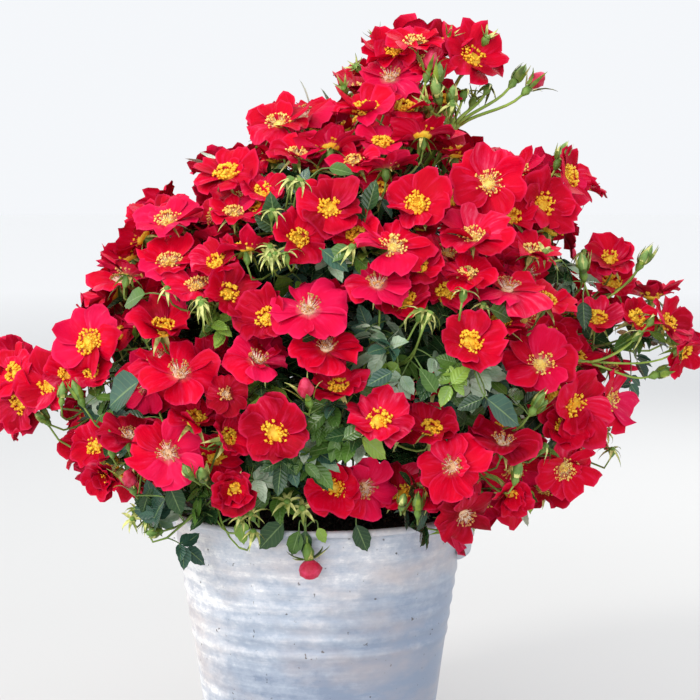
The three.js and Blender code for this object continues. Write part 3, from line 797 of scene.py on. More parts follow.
# Parts of the picture where leaves and stems show instead: x, y, half width and half height in pixels
LEAFY_WINDOWS = [
    (425, 386, 92, 24), (344, 266, 20, 17), (384, 338, 24, 19), (250, 392, 34, 20), (300, 470, 22, 34),
    (110, 400, 26, 20), (275, 520, 26, 20), (400, 520, 34, 14), (634, 345, 26, 20), (350, 440, 20, 12),
    (198, 500, 24, 16), (160, 500, 20, 20), (520, 408, 22, 18), (480, 308, 22, 12), (242, 238, 14, 10),
    (274, 214, 12, 10), (303, 187, 16, 11), (281, 252, 18, 11), (373, 212, 12, 13), (208, 302, 18, 10),
    (178, 286, 12, 8), (424, 320, 18, 10), (456, 301, 14, 9), (546, 257, 14, 11), (556, 450, 12, 14),
    (362, 262, 16, 12), (120, 446, 10, 10), (268, 497, 20, 18), (226, 410, 20, 13), (232, 328, 22, 11),
    (436, 209, 12, 14), (566, 276, 14, 16), (328, 420, 22, 17), (312, 463, 18, 13),
]
# Parts where neither shows: open air round the crown and its sprays, the soil at the left, the pot's front
BARE_WINDOWS = [
    (488, 120, 44, 28), (203, 520, 30, 22), (345, 552, 100, 16), (470, 560, 36, 24), (598, 214, 24, 22),
    (530, 132, 34, 20), (405, 14, 50, 16), (574, 138, 32, 18), (322, 78, 26, 27), (226, 130, 32, 23),
    (182, 184, 34, 19), (236, 112, 18, 16), (138, 194, 20, 14), (106, 226, 24, 19), (20, 328, 36, 16),
    (44, 468, 38, 27), (655, 404, 24, 16), (522, 544, 46, 24), (588, 246, 16, 22), (608, 184, 18, 20),
]
# Each kind: how many petals, their lean and curl in degrees, room round the outline seen, tints and stamens
KINDS = {
    "young": dict(petals=(5, 7), lean=(46, 64), curl=(8, 26), spare=1.06,
                  tints=("red", "crimson", "deep", "crimson"), stamens=("gold",)),
    "open": dict(petals=(5, 7), lean=(34, 50), curl=(-12, 8), spare=1.0,
                 tints=("scarlet", "red", "rosy", "crimson"), stamens=("cream", "cream", "gold")),
    "old": dict(petals=(5, 7), lean=(28, 42), curl=(-30, -6), spare=1.0,
                tints=("scarlet", "rosy", "red", "rosy"), stamens=("pale", "pale", "pale", "cream")),
    # Painted shade: blossoms that stand in shade get darker reds
    "shade_dark": dict(petals=(5, 7), lean=(34, 50), curl=(-24, 4), spare=1.0,
                  tints=("shade_dark", "deep", "shade_dark"), stamens=("pale",)),
    "double": dict(petals=(12, 15), lean=(55, 75), curl=(10, 55), spare=1.08,
                   tints=("crimson", "deep", "red", "crimson"), stamens=("gold",)),
}
FILLER_KINDS = {"open": 0.42, "young": 0.33, "old": 0.17, "double": 0.08}
LATTICE = 430
# Each layer of fillers: its depth in the crown, and the least gap between blossoms
LAYERS = [(5, 30), (24, 27), (48, 30), (72, 30)]
DENSE_TOP = 0.86
LOWEST_RISE = -41
SPRAY_REACH = 204
FLOWER_RADIUS = (21, 25.5)
# What stands nearer the camera than this, in mm, is kept clear of what the picture shows plainly
FRONT = 40
# How much wider the windows count for the middles of blossoms, buds and leaves
LEAFY_MARGIN = 1.4
BARE_MARGINS = {"blossom": 1.3, "bud": 1.2, "leaf": 1.15}
GOLDEN_ANGLE = math.pi * (3 - math.sqrt(5))

rng = np.random.default_rng(41)


def spread_round(count, start):
    """Directions in an even golden spiral, from straight up down to the crown's lower edge."""
    for i in range(count):
        z = 1 - (2 * i + 1) / count
        if math.degrees(math.asin(z)) < LOWEST_RISE:
            break
        swing = i * GOLDEN_ANGLE + start
        yield np.array((math.sqrt(1 - z * z) * math.cos(swing), math.sqrt(1 - z * z) * math.sin(swing), z))


def seen_facing(turn, tilt):
    t, u = math.radians(turn), math.radians(tilt)
    level = math.sin(t) * math.cos(u) * view_right - math.cos(t) * math.cos(u) * view_forward
    return unit(level + math.sin(u) * view_up)


def hides_plain_one(x, y, depth, radius):
    """Whether a blossom here would stand in front of one that the picture shows plainly."""
    return any(math.hypot(x - other["x"], y - other["y"]) < other["half"] * 0.95 + radius * 0.6
               and depth < other["depth"] + 18 for other in plain)


def in_window(windows, x, y, margin):
    """Whether a point of the picture lies in one of these ovals, when each is made larger by a margin."""
    return any(((x - cx) / a) ** 2 + ((y - cy) / b) ** 2 < margin ** 2 for cx, cy, a, b in windows)


def too_near(place, gap):
    return any(np.linalg.norm(other["place"] - place) < gap for other in blossoms)


plain = []
for x, y, half, turn, tilt, kind, sunk in PLAIN_BLOSSOMS:
    place = on_crown(x, y) + sight(x, y) * sunk
    depth = (place - view_from) @ view_forward
    radius = KINDS[kind]["spare"] * half * depth / focal
    plain.append(dict(place=place, facing=seen_facing(turn, tilt), radius=radius, kind=kind,
                      x=x, y=y, half=half, depth=depth, fine=True))
blossoms = list(plain)
for layer, (sunk, gap) in enumerate(LAYERS):
    for toward in spread_round(LATTICE, 1.7 * layer):
        radius = rng.uniform(*FLOWER_RADIUS) * (1 - 0.12 * min(layer, 1))
        facing = unit(toward * 0.75 + UP * 0.38 + rng.uniform(-0.5, 0.5, 3) * 1.25)
        edge = math.sqrt(max(0, 1 - (toward @ facing) ** 2))
        reach = open_reach(toward)
        place = CROWN_CENTRE + toward * (reach - sunk - 0.62 * radius * edge + rng.uniform(-6, 3))
        if layer > 1 and reach < SPRAY_REACH:
            continue
        x, y, depth = seen_at(place)
        leafy = in_window(LEAFY_WINDOWS, x, y, LEAFY_MARGIN)
        if place[1] < FRONT and (leafy or hides_plain_one(x, y, depth, radius * focal / depth)):
            continue
        if in_window(BARE_WINDOWS, x, y, BARE_MARGINS["blossom"]) or not off_the_pot(place, 12):
            continue
        if too_near(place, gap * (DENSE_TOP if toward[2] > 0.3 else 1)):
            continue
        kind = rng.choice(list(FILLER_KINDS), p=list(FILLER_KINDS.values()))
        blossoms.append(dict(place=place, facing=facing, radius=radius, kind=kind, fine=layer == 0))

# Petals are thin sheets of two faces, gathered by tint; each is shaped along s and across v in its own frame.
# The round green hip, the boss and every stamen are turned outlines.
PETAL_GRIDS = {True: (8, 9), False: (5, 6)}
PETAL_THICK = 0.32
PETAL_WAVES = np.array((0.10, 0.075, 0.05))
SLUMP = 11
# Each kind of boss: its size, the fewest and most stamens, how far they spread, and their thread and grain
STAMENS = {
    "gold": (1.16, 62, 76, 60, 1.1, 1.5, 2.0),
    "cream": (0.80, 60, 74, 76, 1.3, 1.1, 1.5),
    "pale": (0.74, 34, 42, 42, 2.0, 1.0, 1.4),
}
JAGS = np.linspace(-1, 1, 7)
heaps = {}


def heap(name):
    return heaps.setdefault(name, Heap())


def grid_faces(rows, columns, flip=False):
    corner = np.arange(rows * columns).reshape(rows, columns)
    a, b = corner[:-1, :-1].ravel(), corner[:-1, 1:].ravel()
    c, d = corner[1:, 1:].ravel(), corner[1:, :-1].ravel()
    faces = np.concatenate((np.column_stack((a, b, c)), np.column_stack((a, c, d))))
    return faces[:, ::-1] if flip else faces


petal_fronts = {fine: grid_faces(*grid, flip=True) for fine, grid in PETAL_GRIDS.items()}
petal_backs = {fine: grid_faces(*grid) for fine, grid in PETAL_GRIDS.items()}
petal_spots = {fine: np.meshgrid(np.linspace(0, 1, rows) ** 0.9, np.linspace(-1, 1, columns), indexing="ij")
               for fine, (rows, columns) in PETAL_GRIDS.items()}
anther = turned([(0, -0.9), (0.66, 0), (0, 0.9)], 4)
filament = turned([(0, -0.01), (0.36, 0), (0, 1.06)], 3)
boss = turned([(0, -1.0), (4.4, 0.6), (5.9, 1.8), (5.2, 3.3), (2.9, 4.4), (0, 4.7)], 9)
hip = turned([(0, -9), (1.1, -8.2), (3.1, -4.4), (2.5, -1.2), (3.2, 0.2), (0, 0.6)], 6)
sepal_faces = grid_faces(5, 3)
sepal_rim_faces = grid_faces(5, 3, flip=True)


def leaned(slope, run, length):
    """How far out and up a strip reaches at each point of its run, from its slope there."""
    steps = np.diff(run)
    return [np.concatenate(([0], np.cumsum(part(slope[:-1]) * steps))) * length for part in (np.cos, np.sin)]


class Petal:
    """One petal's surface in its blossom's own frame. s runs out along it and v across it, from -1 to 1."""

    def __init__(self, length, lean, curl, turn, lap):
        self.length = length
        self.turn = turn
        self.lap = lap
        self.width = length * rng.uniform(0.53, 0.68)
        self.notch = rng.uniform(0.03, 0.20)
        self.notch_at = rng.uniform(-0.25, 0.25)
        self.side_trim = rng.uniform(0.24, 0.44)
        self.jags = rng.uniform(-0.045, 0.045, len(JAGS))
        self.hollow = rng.uniform(-0.14, 0.32)
        self.waves = rng.uniform(0.6, 1.4) * length * PETAL_WAVES
        self.phases = rng.uniform(0, 2 * math.pi, 4)
        self.run = np.linspace(0, 1.02, 26)
        rolled = rng.uniform(-15, 65) * np.maximum(0, self.run - 0.72) / 0.3
        self.slope = np.radians(lean + (curl - lean) * self.run ** 0.75 + rng.uniform(-9, 9) - rolled)
        self.out, self.up = leaned(self.slope, self.run, length)

    def points(self, s, v, lift=0.0):
        notch = self.notch * np.exp(-(((v - self.notch_at) / 0.17) ** 2)) * s ** 4
        rim = 1 - self.side_trim * np.abs(v) ** 3.4 - notch + np.interp(v, JAGS, self.jags) * s ** 4
        along = s * rim
        slope = np.interp(along, self.run, self.slope)
        half = self.width * (0.15 + 0.85 * np.sin(np.minimum(along / 0.74, 1) * math.pi / 2) ** 1.15)
        half = half * (1 - 0.06 * s ** 6)
        wave = self.waves[0] * s ** 2 * np.sin(2.6 * v + self.phases[0])
        wave = wave + self.waves[1] * s ** 1.8 * np.sin(5.2 * v + self.phases[1] + 1.5 * s)
        wave = wave + self.waves[2] * s ** 2.2 * np.sin(9.5 * v + self.phases[2])
        raised = wave + self.hollow * half * v ** 2 + self.lap * v * along * self.length * 0.16 + lift
        out = 1.2 + np.interp(along, self.run, self.out) - np.sin(slope) * raised
        up = np.interp(along, self.run, self.up) + np.cos(slope) * raised
        side = half * v
        c, k = math.cos(self.turn), math.sin(self.turn)
        return np.stack((out * c - side * k, out * k + side * c, up), axis=-1).reshape(-1, 3)


def sepal(length, width, lean, curl, turn, start=2.4):
    """A narrow pointed sepal, creased along its middle."""
    s = np.array((0, 0.22, 0.5, 0.78, 1.0))
    slope = np.radians(lean + (curl - lean) * s)
    out, up = leaned(slope, s, length)
    half = width * np.array((0.75, 1.0, 0.66, 0.3, 0.04)) / 2
    c, k = math.cos(turn), math.sin(turn)
    rows = []
    for v in (-1, 0, 1):
        crease = -0.35 * half * (v == 0)
        o = start + out - np.sin(slope) * crease
        z = up + np.cos(slope) * crease
        rows.append(np.stack((o * c - v * half * k, o * k + v * half * c, z), axis=-1))
    return np.stack(rows, axis=1).reshape(-1, 3)


def add_sepals(placed, count, length, width, lean, curl, start=2.4):
    """Sepals are green inside a pale downy edge, which shows from behind as a paler sheet; that sheet is the
    pale down lightened by a painted highlight.
    """
    spin = rng.uniform(0, 2 * math.pi)
    for i in range(count):
        turn = spin + i * 2 * math.pi / count + rng.uniform(-0.2, 0.2)
        shape = (length * rng.uniform(0.7, 1.2), width * rng.uniform(0.75, 1.15), lean + rng.uniform(-18, 18))
        points = sepal(*shape, curl + rng.uniform(-25, 25), turn, start)
        heap("sepals_olive" if rng.random() < 0.45 else "sepals_green").add(placed(points), sepal_faces)
        heap("sepals_pale_highlit").add(placed(points + np.array((0, 0, 0.22))), sepal_rim_faces)


def add_stamens(placed, radius, kind, fine):
    """Young blossoms have a dense golden boss; in old ones pale threads show, and their anthers are brown."""
    boss_scale, few, many, spread_angle, thickness, smallest, largest = STAMENS[kind]
    heap(f"bosses_{kind}").add(placed(boss[0] * radius / 25 * boss_scale), boss[1])
    for _ in range(int(rng.integers(few, many) * (1 if fine else 0.5))):
        spread = rng.random() ** (0.65 if kind == "gold" else 0.75)
        tilt = math.radians(6 + spread_angle * spread)
        turn = rng.uniform(0, 2 * math.pi)
        length = radius * rng.uniform(0.24, 0.30) * (1 + 0.3 * spread)
        toward = np.array((math.sin(tilt) * math.cos(turn), math.sin(tilt) * math.sin(turn), math.cos(tilt)))
        root = np.array((math.cos(turn), math.sin(turn), 0.8)) * 1.5
        if kind != "gold" or spread > 0.7:
            thread = filament[0] * (thickness, thickness, length)
            heap(f"filaments_{kind}").add(placed(root + thread @ facing_frame(toward)), filament[1])
        grain = anther[0] * rng.uniform(smallest, largest) @ facing_frame(unit(rng.normal(size=3)))
        heap(f"anthers_{kind}").add(placed(root + toward * length + grain), anther[1])


def one_of(options):
    return options[int(rng.integers(len(options)))]


def petal_shapes(blossom, count):
    """Each petal's length, lean, curl and turn. A double blossom's inner ring is smaller and steeper."""
    facts = KINDS[blossom["kind"]]
    ring = 6 if count > 8 else count
    slump = rng.uniform(0, 2 * math.pi)
    shapes = []
    for i in range(count):
        inner = i // ring
        turn = 2 * math.pi * i / ring + rng.uniform(-0.2, 0.2) + 0.5 * inner
        lean = rng.uniform(*facts["lean"]) + 14 * inner + SLUMP * math.cos(turn - slump)
        curl = rng.uniform(*facts["curl"]) + 18 * inner
        shapes.append((blossom["radius"] * rng.uniform(0.88, 1.09) * (1 - 0.2 * inner), lean, curl, turn))
    for _ in range(int(rng.integers(0, 2)) if ring == count and blossom["kind"] != "young" else 0):
        small = blossom["radius"] * rng.uniform(0.5, 0.7)
        shapes.append((small, rng.uniform(58, 78), rng.uniform(-10, 40), rng.uniform(0, 2 * math.pi)))
    return shapes


def add_blossom(blossom):
    facts = KINDS[blossom["kind"]]
    fine, tints = blossom["fine"], facts["tints"]
    rows = facing_frame(blossom["facing"], rng.uniform(0, 2 * math.pi))
    place = blossom["place"] - blossom["facing"] * blossom["radius"] * 0.22

    def placed(points):
        return place + points @ rows

    s, v = petal_spots[fine]
    count = int(rng.integers(*facts["petals"]))
    own_tint = one_of(tints)
    lap = rng.choice((-1, 1))
    for shape in petal_shapes(blossom, count):
        petal = Petal(*shape, lap)
        tint = own_tint if rng.random() < 0.62 else one_of(tints)
        spots = np.stack((s.ravel(), v.ravel(), np.full(s.size, rng.random())), axis=-1)
        heap(f"petals_{tint}").add(placed(petal.points(s, v)), petal_fronts[fine], spots)
        back = "petal_backs_rosy" if tint in ("rosy", "scarlet") else "petal_backs_red"
        heap(back).add(placed(petal.points(s, v, -PETAL_THICK)), petal_backs[fine], spots)
    add_stamens(placed, blossom["radius"], one_of(facts["stamens"]), fine)
    heap("hips").add(placed(hip[0]), hip[1])
    add_sepals(placed, 5, 14, 3.6, rng.uniform(-50, -5), -70)
    blossom["foot"] = place - blossom["facing"] * 8.6


for blossom in blossoms:
    add_blossom(blossom)

# The pink of the petals' painted sheen, and the paler pink of their painted glints
PAINTED_SHEEN_PINK = (0.84, 0.034, 0.145)
PAINTED_GLINT_PINK = (0.90, 0.20, 0.28)
# Each tint: its light and dark parts, the petal's pale foot, and how strong its painted sheen and glints are
PETAL_TINTS = {
    "petals_scarlet": ((0.71, 0.001, 0.025), (0.58, 0.001, 0.017), (0.80, 0.22, 0.20), 1.0),
    "petals_red": ((0.68, 0.001, 0.023), (0.51, 0.001, 0.014), (0.76, 0.12, 0.08), 1.0),
    "petals_crimson": ((0.62, 0.001, 0.022), (0.41, 0.001, 0.013), (0.70, 0.10, 0.07), 0.95),
    "petals_deep": ((0.46, 0.001, 0.016), (0.24, 0.001, 0.008), (0.60, 0.06, 0.04), 0.8),
    # Painted shade: the darkest red, for blossoms that stand in shade
    "petals_shade_dark": ((0.38, 0.001, 0.013), (0.21, 0.001, 0.007), (0.50, 0.05, 0.04), 0.5),
    "petals_rosy": ((0.74, 0.006, 0.066), (0.65, 0.002, 0.037), (0.88, 0.46, 0.42), 1.0),
    "petal_backs_rosy": ((0.76, 0.009, 0.070), (0.64, 0.004, 0.040), (0.84, 0.40, 0.30), 1.0),
    "petal_backs_red": ((0.62, 0.003, 0.032), (0.45, 0.002, 0.020), (0.70, 0.24, 0.14), 1.0),
}
foliage_nodes = [f"foliage_{name}" for name in names]


def piece_of(name, finish):
    """The piece that a heap makes, which stands with the others for the masses of foliage."""
    finished(heaps[name].piece(name), finish, "blossom", *foliage_nodes)


def silk(name, light, dark, base, shine):
    """Petals are velvety and veined, with a pale foot and cloudy darker patches. Painted pink sheen streaks
    them from foot to rim, a few petals carry painted glints, and a painted pale highlight runs round each
    rim.
    """
    made = Finish(name, light, 0.5, Specular_IOR_Level=0.05)
    along, aside, own = made.spot("X"), made.spot("Y"), made.spot("Z")
    clouds = made.noise((1, 1, 1), 60, detail=3) + own * 0.34 + along * 0.26
    colour = made.tinted(dark, light, clouds, 0.56, 0.96)
    fan = made.add("CombineXYZ", {}, {"X": aside * 4.5, "Y": along * 1.5, "Z": own * 40})
    veins = made.add("TexNoise", {}, {"Vector": fan, "Scale": 1.0, "Detail": 3.0, "Roughness": 0.6})
    # Painted sheen: pale pink streaks along the veins, strongest on a few petals
    glossy = made.ramp(own, [(0.62, grey(0.10)), (0.92, grey(0.24))])
    sheen = veins * (1.14 - along * 0.3) + glossy
    colour = made.tinted(colour, PAINTED_SHEEN_PINK, sheen, 0.58, 0.90, 0.58 * shine)
    # Painted glints: paler pink on the brightest streaks
    colour = made.tinted(colour, PAINTED_GLINT_PINK, veins * 0.8 + own * 0.3, 0.72, 0.90, 0.5 * shine)
    foot = made.ramp(along, [(0.10, grey(0.9)), (0.16, grey(0.3)), (0.30, grey(0))])
    colour = made.mix(foot, colour, base)
    # Painted highlight: a pale pink band round each petal's rim
    edge = made.maths("MAXIMUM", along, made.maths("ABSOLUTE", aside))
    colour = made.tinted(colour, PAINTED_SHEEN_PINK, edge, 0.90, 1.0, 0.45 * shine)
    made.wear(Base_Color=colour, Normal=made.bump(veins, 0.55, 0.0014))
    return made


for tint, colours in PETAL_TINTS.items():
    piece_of(tint, silk(f"{tint}_silk", *colours))

# Buds stand in bunches among the blossoms: closed green ones, red ones that open, and spent ones that have
# dropped their petals and keep their spiky sepals. Each row: picture x and y, kind, how many, extra depth.
PLAIN_BUDS = [
    (242, 238, "spent", 5, 0), (274, 214, "spent", 5, 0), (303, 185, "spent", 5, 0),
    (280, 248, "spent", 5, 0), (178, 286, "spent", 3, 0), (208, 300, "spent", 3, 0),
    (373, 210, "spent", 3, 0), (388, 177, "spent", 2, 0), (447, 110, "spent", 2, 0),
    (414, 100, "spent", 3, 0), (524, 232, "closed", 1, 0), (545, 254, "spent", 3, 0),
    (584, 270, "closed", 1, 0), (559, 161, "closed", 1, 0), (82, 398, "closed", 1, 0),
    (66, 398, "closed", 1, 0), (122, 434, "opening", 1, -14), (112, 451, "closed", 1, -6),
    (136, 488, "opening", 1, 0), (128, 514, "spent", 2, 0), (246, 522, "spent", 3, 0),
    (504, 448, "opening", 1, -16), (515, 472, "closed", 1, -4), (482, 508, "closed", 1, -6),
    (546, 412, "closed", 2, 0), (556, 450, "spent", 3, 0), (306, 402, "opening", 1, 4),
    (424, 318, "spent", 3, 0), (456, 300, "spent", 3, 0), (482, 312, "spent", 3, 0),
    (630, 276, "closed", 2, 0), (588, 250, "spent", 1, 0), (664, 284, "spent", 2, 0),
    (640, 260, "closed", 1, 0), (600, 440, "spent", 2, 0), (40, 420, "closed", 2, 0),
    (362, 246, "spent", 2, 0), (190, 474, "closed", 2, 0), (298, 505, "spent", 2, 0),
    (410, 500, "closed", 2, 0), (434, 210, "spent", 3, 0), (498, 258, "spent", 2, 0),
]
# Fresh shoots that stand out: picture x and y of their root and of their bud, its kind, and the radius
FRESH_SHOOTS = [
    (388, 50, 378, 38, "spiky", 0.9), (368, 70, 356, 66, "spiky", 0.8), (352, 94, 344, 88, "spiky", 0.8),
    (478, 48, 487, 37, "spiky", 0.9), (440, 50, 449, 36, "spiky", 0.9), (446, 122, 426, 102, "spiky", 1.1),
    (455, 124, 474, 99, "spiky", 1.2), (430, 118, 437, 82, "closed", 1.1),
    (450, 122, 452, 103, "closed", 1.2), (455, 124, 489, 86, "spent", 1.3),
    (458, 124, 515, 80, "closed", 1.2), (460, 125, 529, 88, "opening", 1.2),
    (452, 124, 464, 92, "spent", 1.2), (448, 122, 438, 96, "closed", 1.2),
    (412, 122, 428, 72, "opening", 1.1), (404, 118, 440, 86, "spent", 1.1),
    (590, 362, 640, 333, "spent", 0.9), (592, 362, 654, 318, "spent", 0.8),
    (592, 364, 658, 374, "closed", 0.9), (594, 362, 680, 350, "spent", 0.8),
    (588, 300, 583, 272, "closed", 0.9), (560, 262, 545, 252, "spent", 0.8),
    (604, 300, 642, 262, "closed", 0.8), (540, 190, 559, 160, "closed", 0.8),
]
BUNCH_SPREAD = np.array((9, 7, 6))
LONE_SPREAD = 3
BUD_TRIES = 5
BUD_LATTICE = 110
BUD_KINDS = {"spent": 0.55, "closed": 0.37, "opening": 0.08}
HANGING_BUD = (309, 569)

closed_body = turned([(0, -1), (2.2, 0.4), (3.5, 3.4), (3.3, 6.6), (1.9, 10.2), (0, 13.0)], 9)
opening_body = turned([(0, 1.0), (2.6, 1.8), (4.3, 4.4), (4.8, 7.4), (4.1, 10.6), (2.4, 13.2), (0, 14.8)], 11)
hanging_body = turned([(0, 0.4), (2.6, 1.0), (4.3, 2.8), (5.0, 5.0), (4.7, 7.2), (3.3, 8.9), (1.4, 9.6),
                       (0, 9.4)], 15)
bud_hip = turned([(0, -7.5), (1.0, -7), (2.9, -3.2), (2.2, 0.8), (0, 1.2)], 6)


def whorled(points, amount):
    """Furl a bud's petals: a spiral fold round its top."""
    swing = np.arctan2(points[:, 1], points[:, 0]) + 0.28 * points[:, 2]
    swell = 1 + amount * np.cos(2 * swing) + 0.5 * amount * np.cos(5 * swing)
    return points * np.column_stack((swell, swell, np.ones(len(points))))


def add_bud(bud):
    rows = facing_frame(bud["facing"], rng.uniform(0, 2 * math.pi))
    size = bud["size"]

    def placed(points):
        return bud["place"] + points * size @ rows

    heap("hips").add(placed(bud_hip[0]), bud_hip[1])
    if bud["kind"] == "closed":
        heap("buds_green").add(placed(whorled(closed_body[0], 0.05)), closed_body[1])
        add_sepals(placed, 5, 13, 4.2, 78, 104, 2.9)
    elif bud["kind"] == "spiky":
        add_sepals(placed, 6, 9, 2.4, rng.uniform(30, 60), rng.uniform(40, 70), 1.4)
    elif bud["kind"] == "hanging":
        heap("buds_red").add(placed(whorled(hanging_body[0], 0.12)), hanging_body[1])
        add_sepals(placed, 6, 9, 3.0, -12, -46, 3.0)
    elif bud["kind"] == "opening":
        heap("buds_red").add(placed(whorled(opening_body[0], 0.16)), opening_body[1])
        add_sepals(placed, 5, 16, 3.2, 66, 20, 3.2)
    else:
        add_sepals(placed, 7, 13, 2.8, rng.uniform(-60, 15), -88, 1.4)
        heap("hips").add(placed(boss[0] * 0.36), boss[1])
    bud["foot"] = bud["place"] - bud["facing"] * 7 * size


blossom_places = np.array([one["place"] for one in blossoms])
blossom_facings = np.array([one["facing"] for one in blossoms])
blossom_radii = np.array([one["radius"] for one in blossoms])


def in_a_blossom(place):
    """Whether a point lies in the cup of a blossom's petals, or just in front of it."""
    rel = (place - blossom_places) / blossom_radii[:, None]
    ahead = (rel * blossom_facings).sum(axis=1)
    aside = np.linalg.norm(rel - ahead[:, None] * blossom_facings, axis=1)
    return bool(np.any((ahead > -0.24) & (ahead < 0.8) & (aside < 0.85)))


def bud_is_free(place):
    return not (in_a_blossom(place) or in_a_blossom(place - UP * 8))


def before_a_centre(place):
    """Whether a bud here would stand in front of the stamens of a blossom that the picture shows plainly."""
    x, y, depth = seen_at(place)
    return any(math.hypot(x - other["x"], y + 6 - other["y"]) < other["half"] * 0.6
               and depth < other["depth"] + 8 for other in plain)


def before_the_pot(x, y, gap):
    """The point on a line of sight that is a gap away from the pot's wall."""
    line = view_from + np.arange(1250, 1500, 0.5)[:, None] * sight(x, y)
    near = np.hypot(line[:, 0], line[:, 1]) < wall_radius(line[:, 2]) + gap
    return line[int(np.argmax(near))]


buds = []
for x, y, kind, count, sunk in PLAIN_BUDS:
    middle = on_crown(x, y, 1.0) + sight(x, y) * sunk
    outward = unit(middle - CROWN_CENTRE)
    for _ in range(count):
        facing = unit(outward * 0.35 + UP * 0.9 - view_forward * 0.15 + rng.uniform(-1, 1, 3) * 0.45)
        size = rng.uniform(0.85, 1.1)
        for _ in range(BUD_TRIES):
            place = middle + rng.uniform(-1, 1, 3) * (BUNCH_SPREAD if count > 1 else LONE_SPREAD)
            if bud_is_free(place) and not before_a_centre(place):
                buds.append(dict(place=place, facing=facing, kind=kind, size=size))
                break
for toward in spread_round(BUD_LATTICE, 0.9):
    middle = CROWN_CENTRE + toward * (open_reach(toward) - rng.uniform(2, 14))
    x, y, depth = seen_at(middle)
    if (middle[1] < FRONT and hides_plain_one(x, y, depth, 8)) or not off_the_pot(middle, 8):
        continue
    if in_window(BARE_WINDOWS, x, y, BARE_MARGINS["bud"]) or in_a_blossom(middle):
        continue
    for _ in range(int(rng.integers(1, 4))):
        kind = rng.choice(list(BUD_KINDS), p=list(BUD_KINDS.values()))
        facing = unit(toward * 0.6 + UP * 0.8 + rng.uniform(-1, 1, 3) * 0.45)
        place = middle + rng.uniform(-1, 1, 3) * BUNCH_SPREAD
        if bud_is_free(place):
            buds.append(dict(place=place, facing=facing, kind=kind, size=rng.uniform(0.7, 1.0)))

shoots = []
for root_x, root_y, x, y, kind, radius in FRESH_SHOOTS:
    root = on_crown(root_x, root_y, 0.95) + sight(root_x, root_y) * 8
    place = on_crown(x, y, 1.0)
    facing = unit(unit(place - root) + UP * 0.4)
    shoots.append(dict(place=place, facing=facing, kind=kind, size=1.1, root=root, radius=radius))
hanging = dict(place=before_the_pot(*HANGING_BUD, 13) + UP * 7, facing=unit(np.array((0.12, -0.1, -1.0))),
               kind="hanging", size=1.45)
for bud in (*buds, *shoots, hanging):
    add_bud(bud)

# Each small part's light and dark colour
BLOSSOM_PARTS = {
    "filaments_gold": ((0.92, 0.56, 0.06), (0.86, 0.40, 0.04)),
    "anthers_gold": ((1.0, 0.69, 0.05), (0.96, 0.46, 0.018)),
    "filaments_pale": ((1.0, 0.84, 0.66), (0.96, 0.66, 0.50)),
    "anthers_pale": ((0.72, 0.34, 0.10), (0.40, 0.15, 0.05)),
    "bosses_gold": ((1.0, 0.74, 0.06), (0.93, 0.48, 0.025)),
    "bosses_pale": ((0.92, 0.72, 0.46), (0.80, 0.50, 0.26)),
    "filaments_cream": ((0.98, 0.84, 0.42), (0.94, 0.66, 0.26)),
    "anthers_cream": ((1.0, 0.78, 0.24), (0.94, 0.54, 0.09)),
    "bosses_cream": ((1.0, 0.82, 0.22), (0.92, 0.62, 0.08)),
    "hips": ((0.20, 0.34, 0.06), (0.10, 0.20, 0.03)),
    "sepals_olive": ((0.15, 0.20, 0.022), (0.06, 0.09, 0.012)),
    "sepals_green": ((0.25, 0.36, 0.035), (0.10, 0.17, 0.018)),
    # The pale sepal sheet: pale down with a painted highlight
    "sepals_pale_highlit": ((0.74, 0.74, 0.26), (0.19, 0.24, 0.035)),
    "buds_green": ((0.26, 0.42, 0.11), (0.12, 0.24, 0.05)),
    "buds_red": ((0.72, 0.05, 0.13), (0.50, 0.008, 0.04)),
}


def tissue(name, light, dark, roughness=0.5, size=160):
    """Small living parts: one colour that fades into another in small patches."""
    made = Finish(name, light, roughness, Specular_IOR_Level=0.35)
    patches = made.ramp(made.noise((1, 1, 1), size, detail=3), [(0.38, grey(0)), (0.62, grey(1))])
    made.wear(Base_Color=made.mix(patches, dark, light), Normal=made.bump(patches, 0.15, 0.0002))
    return made


for part_name, colours in BLOSSOM_PARTS.items():
    piece_of(part_name, tissue(f"{part_name}_tissue", *colours))

# Twigs leave each mass's woody stem and fork into a stalk for every blossom and bud, as the rule has them:
# what a mass carries is sorted round its direction and shared out among its twigs.
STEM_END = 0.6
STEM_RADII = (1.7, 1.1)
TWIG_FIRST = 0.42
TWIG_SPAN = 0.18
TWIG_RADII = (1.15, 0.85)
STALK_RADII = (0.85, 0.7)
CARRIED = 4
FORK = 0.5
FORK_STEP = 0.12
STEM_STEPS = 12
TWIG_STEPS = 10
grown = []


def tube(path, start, end, sides):
    """A tapering tube along points, closed at both ends."""
    steps = np.gradient(path, axis=0)
    along = steps / np.linalg.norm(steps, axis=1)[:, None]
    helper = np.eye(3)[int(np.argmin(np.abs(along.mean(axis=0))))]
    across = np.cross(along, helper)
    across /= np.linalg.norm(across, axis=1)[:, None]
    over = np.cross(along, across)
    around = np.arange(sides) * 2 * math.pi / sides
    radii = np.linspace(start, end, len(path))[:, None, None]
    rings = path[:, None] + radii * (np.cos(around)[None, :, None] * across[:, None]
                                     + np.sin(around)[None, :, None] * over[:, None])
    ends = [path[0] - along[0] * start * 0.5], [path[-1] + along[-1] * end]
    return np.concatenate((rings.reshape(-1, 3), *ends)), ring_faces(len(path), sides)[:, ::-1]


def arc(start, start_pull, end_pull, end, steps):
    t = np.linspace(0, 1, steps)[:, None]
    first_half = (1 - t) ** 3 * start + 3 * (1 - t) ** 2 * t * start_pull
    return first_half + 3 * (1 - t) * t ** 2 * end_pull + t ** 3 * end


def grow(name, path, radii, sides):
    heap(name).add(*tube(path, *radii, sides))
    grown.append(path[1:])


